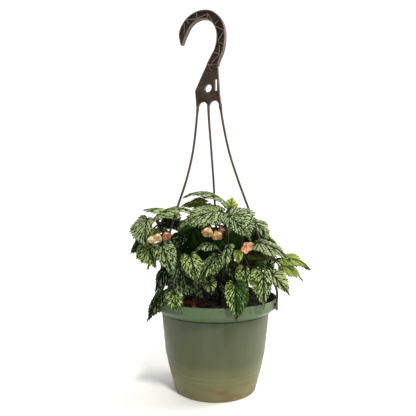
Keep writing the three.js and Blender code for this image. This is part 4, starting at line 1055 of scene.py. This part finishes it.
POLLEN = grain_skin("stamen_yellow", "#a86a1c", "#d9a640")
CUP_GREEN = grain_skin("cup_green", "#5c6a2c", "#8c9a4b")
DRIED = grain_skin("dried_stamens_and_cup", "#24120a", "#54331f")
PETAL_SKINS = {kind: petal_skin(kind, *row[3]) for kind, row in BLOOM_KINDS.items()}


def knob_shell(centre, axis, radius, length):
    """A closed rounded knob along an axis."""
    places = np.linspace(0, math.pi, 6)
    line = [centre - axis * math.cos(a) * length / 2 for a in places]
    return tube(line, np.maximum(np.sin(places), 0.12) * radius, 10)


def stamens_tree():
    """Covers a small knob with grains."""
    given = shape_inputs("stamen_knob", {
        "Grain size": 0.45 * MM, "Per square metre": 1200000.0, "Seed": 7,
    })
    grain = node("MeshIcoSphere", {"Radius": given["Grain size"], "Subdivisions": 1})
    grains = strewn(given, given["Geometry"], grain)
    return finished(node("JoinGeometry", [[given["Geometry"], grains]]), given)


STAMENS_TREE = stamens_tree()


def bloom_pieces(name, node_name, kind, centre, face, size, turn=0, skin=None, wave=0.5):
    """The petals of a bloom as one piece, and its knob and cup as two more."""
    petals, opened, knob, _, slot = BLOOM_KINDS[kind]
    middle, axis = np.asarray(centre, float), unit(face)
    across = unit(np.cross(axis, (0, 0, 1)))
    blades = []
    for bearing, length, width in petals:
        angle = math.radians(bearing + turn)
        outwards = across * math.cos(angle) + np.cross(axis, across) * math.sin(angle)
        base = middle + outwards * 0.9
        tip = base + unit(outwards * opened + axis * (1 - opened)) * length * size
        half = width * size / 2
        blades.append(blade(
            base, tip, axis + outwards * (opened - 1), (half, half), edge=PETAL_EDGE, veins=4, cup=0,
            arch=-0.15 * length * size, relief=0.25, tooth=0.008, wave=wave, mark=draws.random(),
            midrib=0, hollow=-0.5 / half, thickness=0.7, fine=5, rings=8,
        ))
    plain = ((0, 0, 0), (0, 0, 0))
    pieces = [blades_object(name, blades, [plain] * len(blades), skin or PETAL_SKINS[kind])]
    stamens = knob_shell(middle + axis * (0.8 + 0.4 * knob), axis, knob * 0.8, knob * 1.7)
    stamens = mesh_object(f"{name}_stamens", *stamens)
    pieces.append(shaped(stamens, STAMENS_TREE, DRIED if skin else POLLEN))
    cup = mesh_object(f"{name}_cup", *tube([middle + axis * h for h, _ in CUP], [r for _, r in CUP], 12))
    cup.data.materials.append(DRIED if skin else CUP_GREEN)
    pieces.append(cup)
    for piece in pieces:
        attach(piece, "root")
        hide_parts(node_name)


for cane_name, (_, _, blooms) in CANES.items():
    for number, (at, centre, face, kind, size) in enumerate(blooms, 1):
        bloom_pieces(f"{cane_name}_bloom_{number}", f"bloom_{cane_name}_{number}", kind, centre, face, size)


# Fallen blooms
# Dried flowers, rust red to brown, of the same thick petals. They have dropped from the canes and lie
# loose on the soil inside the front left of the rim.
FALLEN = [
    (-38, -39, 8, 20, ("#7c2411", "#bb3f20", "#c9492c", "#e0704c")),
    (-22, -37, 9.5, 95, ("#2a120a", "#6a2f1b", "#7c4228", "#8a4a30")),
    (-27, -55, 7, 200, ("#5c2c18", "#a05a38", "#b8754f", "#c08a60")),
]
FALLEN_FACE = (0.1, -0.75, 0.65)
FALLEN_LIFT = 2.6
for number, (x, y, size, turn, colours) in enumerate(FALLEN, 1):
    middle = (x, y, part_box(f"fallen_bloom_{number}")[0][2] / MM + FALLEN_LIFT)
    skin = petal_skin(f"dried_{number}", *colours)
    bloom_pieces(f"fallen_{number}", f"fallen_bloom_{number}", "fallen", middle, FALLEN_FACE, size, turn,
                 skin, wave=0.9)


# Stage
# A pale floor under a white surround, with daylight from the front right and a broad soft light at
# the right.
floor = mesh_object("floor", [(-6, -6, 0), (6, -6, 0), (6, 6, 0), (-6, 6, 0)], [(0, 1, 2, 3)])
pale = surfaced(new_material("pale_floor")[0], {"Base Color": "#f6f6f4", "Roughness": 0.7})
floor.data.materials.append(pale)

# The surround is white behind and at the right, and dimmer in front and at the left.
world = bpy.data.worlds.new("white_surround")
world.use_nodes = True
sky = world.node_tree
sky.nodes.clear()
east, north, above = parts(node("TexCoord", pick="Generated", tree=sky))
level = spread(north, -0.6, 0.6, 0.3, 1.15) * spread(east, -0.75, -0.45, 0.06)
level = level * spread(east, 0.3, 0.9, 1, 1.45) * spread(above, 0.5, 1, 1, 1.5)
node("OutputWorld", {"Surface": node("Background", {0: "#ffffff", 1: level})})
bpy.context.scene.world = world


def lamp(name, kind, power, colour, place, towards):
    """A lamp at a place that shines in a direction."""
    made = bpy.data.lights.new(name, kind)
    made.energy = power
    made.color = linear(colour)[:3]
    holder = added(name, made)
    holder.location = place
    holder.rotation_euler = Vector(towards).to_track_quat("-Z", "Y").to_euler()
    return made


lamp("right_light", "AREA", 20, "#fffaf0", (1.5, 0.3, 1.1), (-1.5, -0.3, -0.95)).size = 0.8
lamp("window_light", "SUN", 2.3, "#fffcf4", (0, 0, 0), (-0.33, 0.95, -1.3)).angle = math.radians(9)
bpy.context.scene.view_settings.view_transform = "Standard"
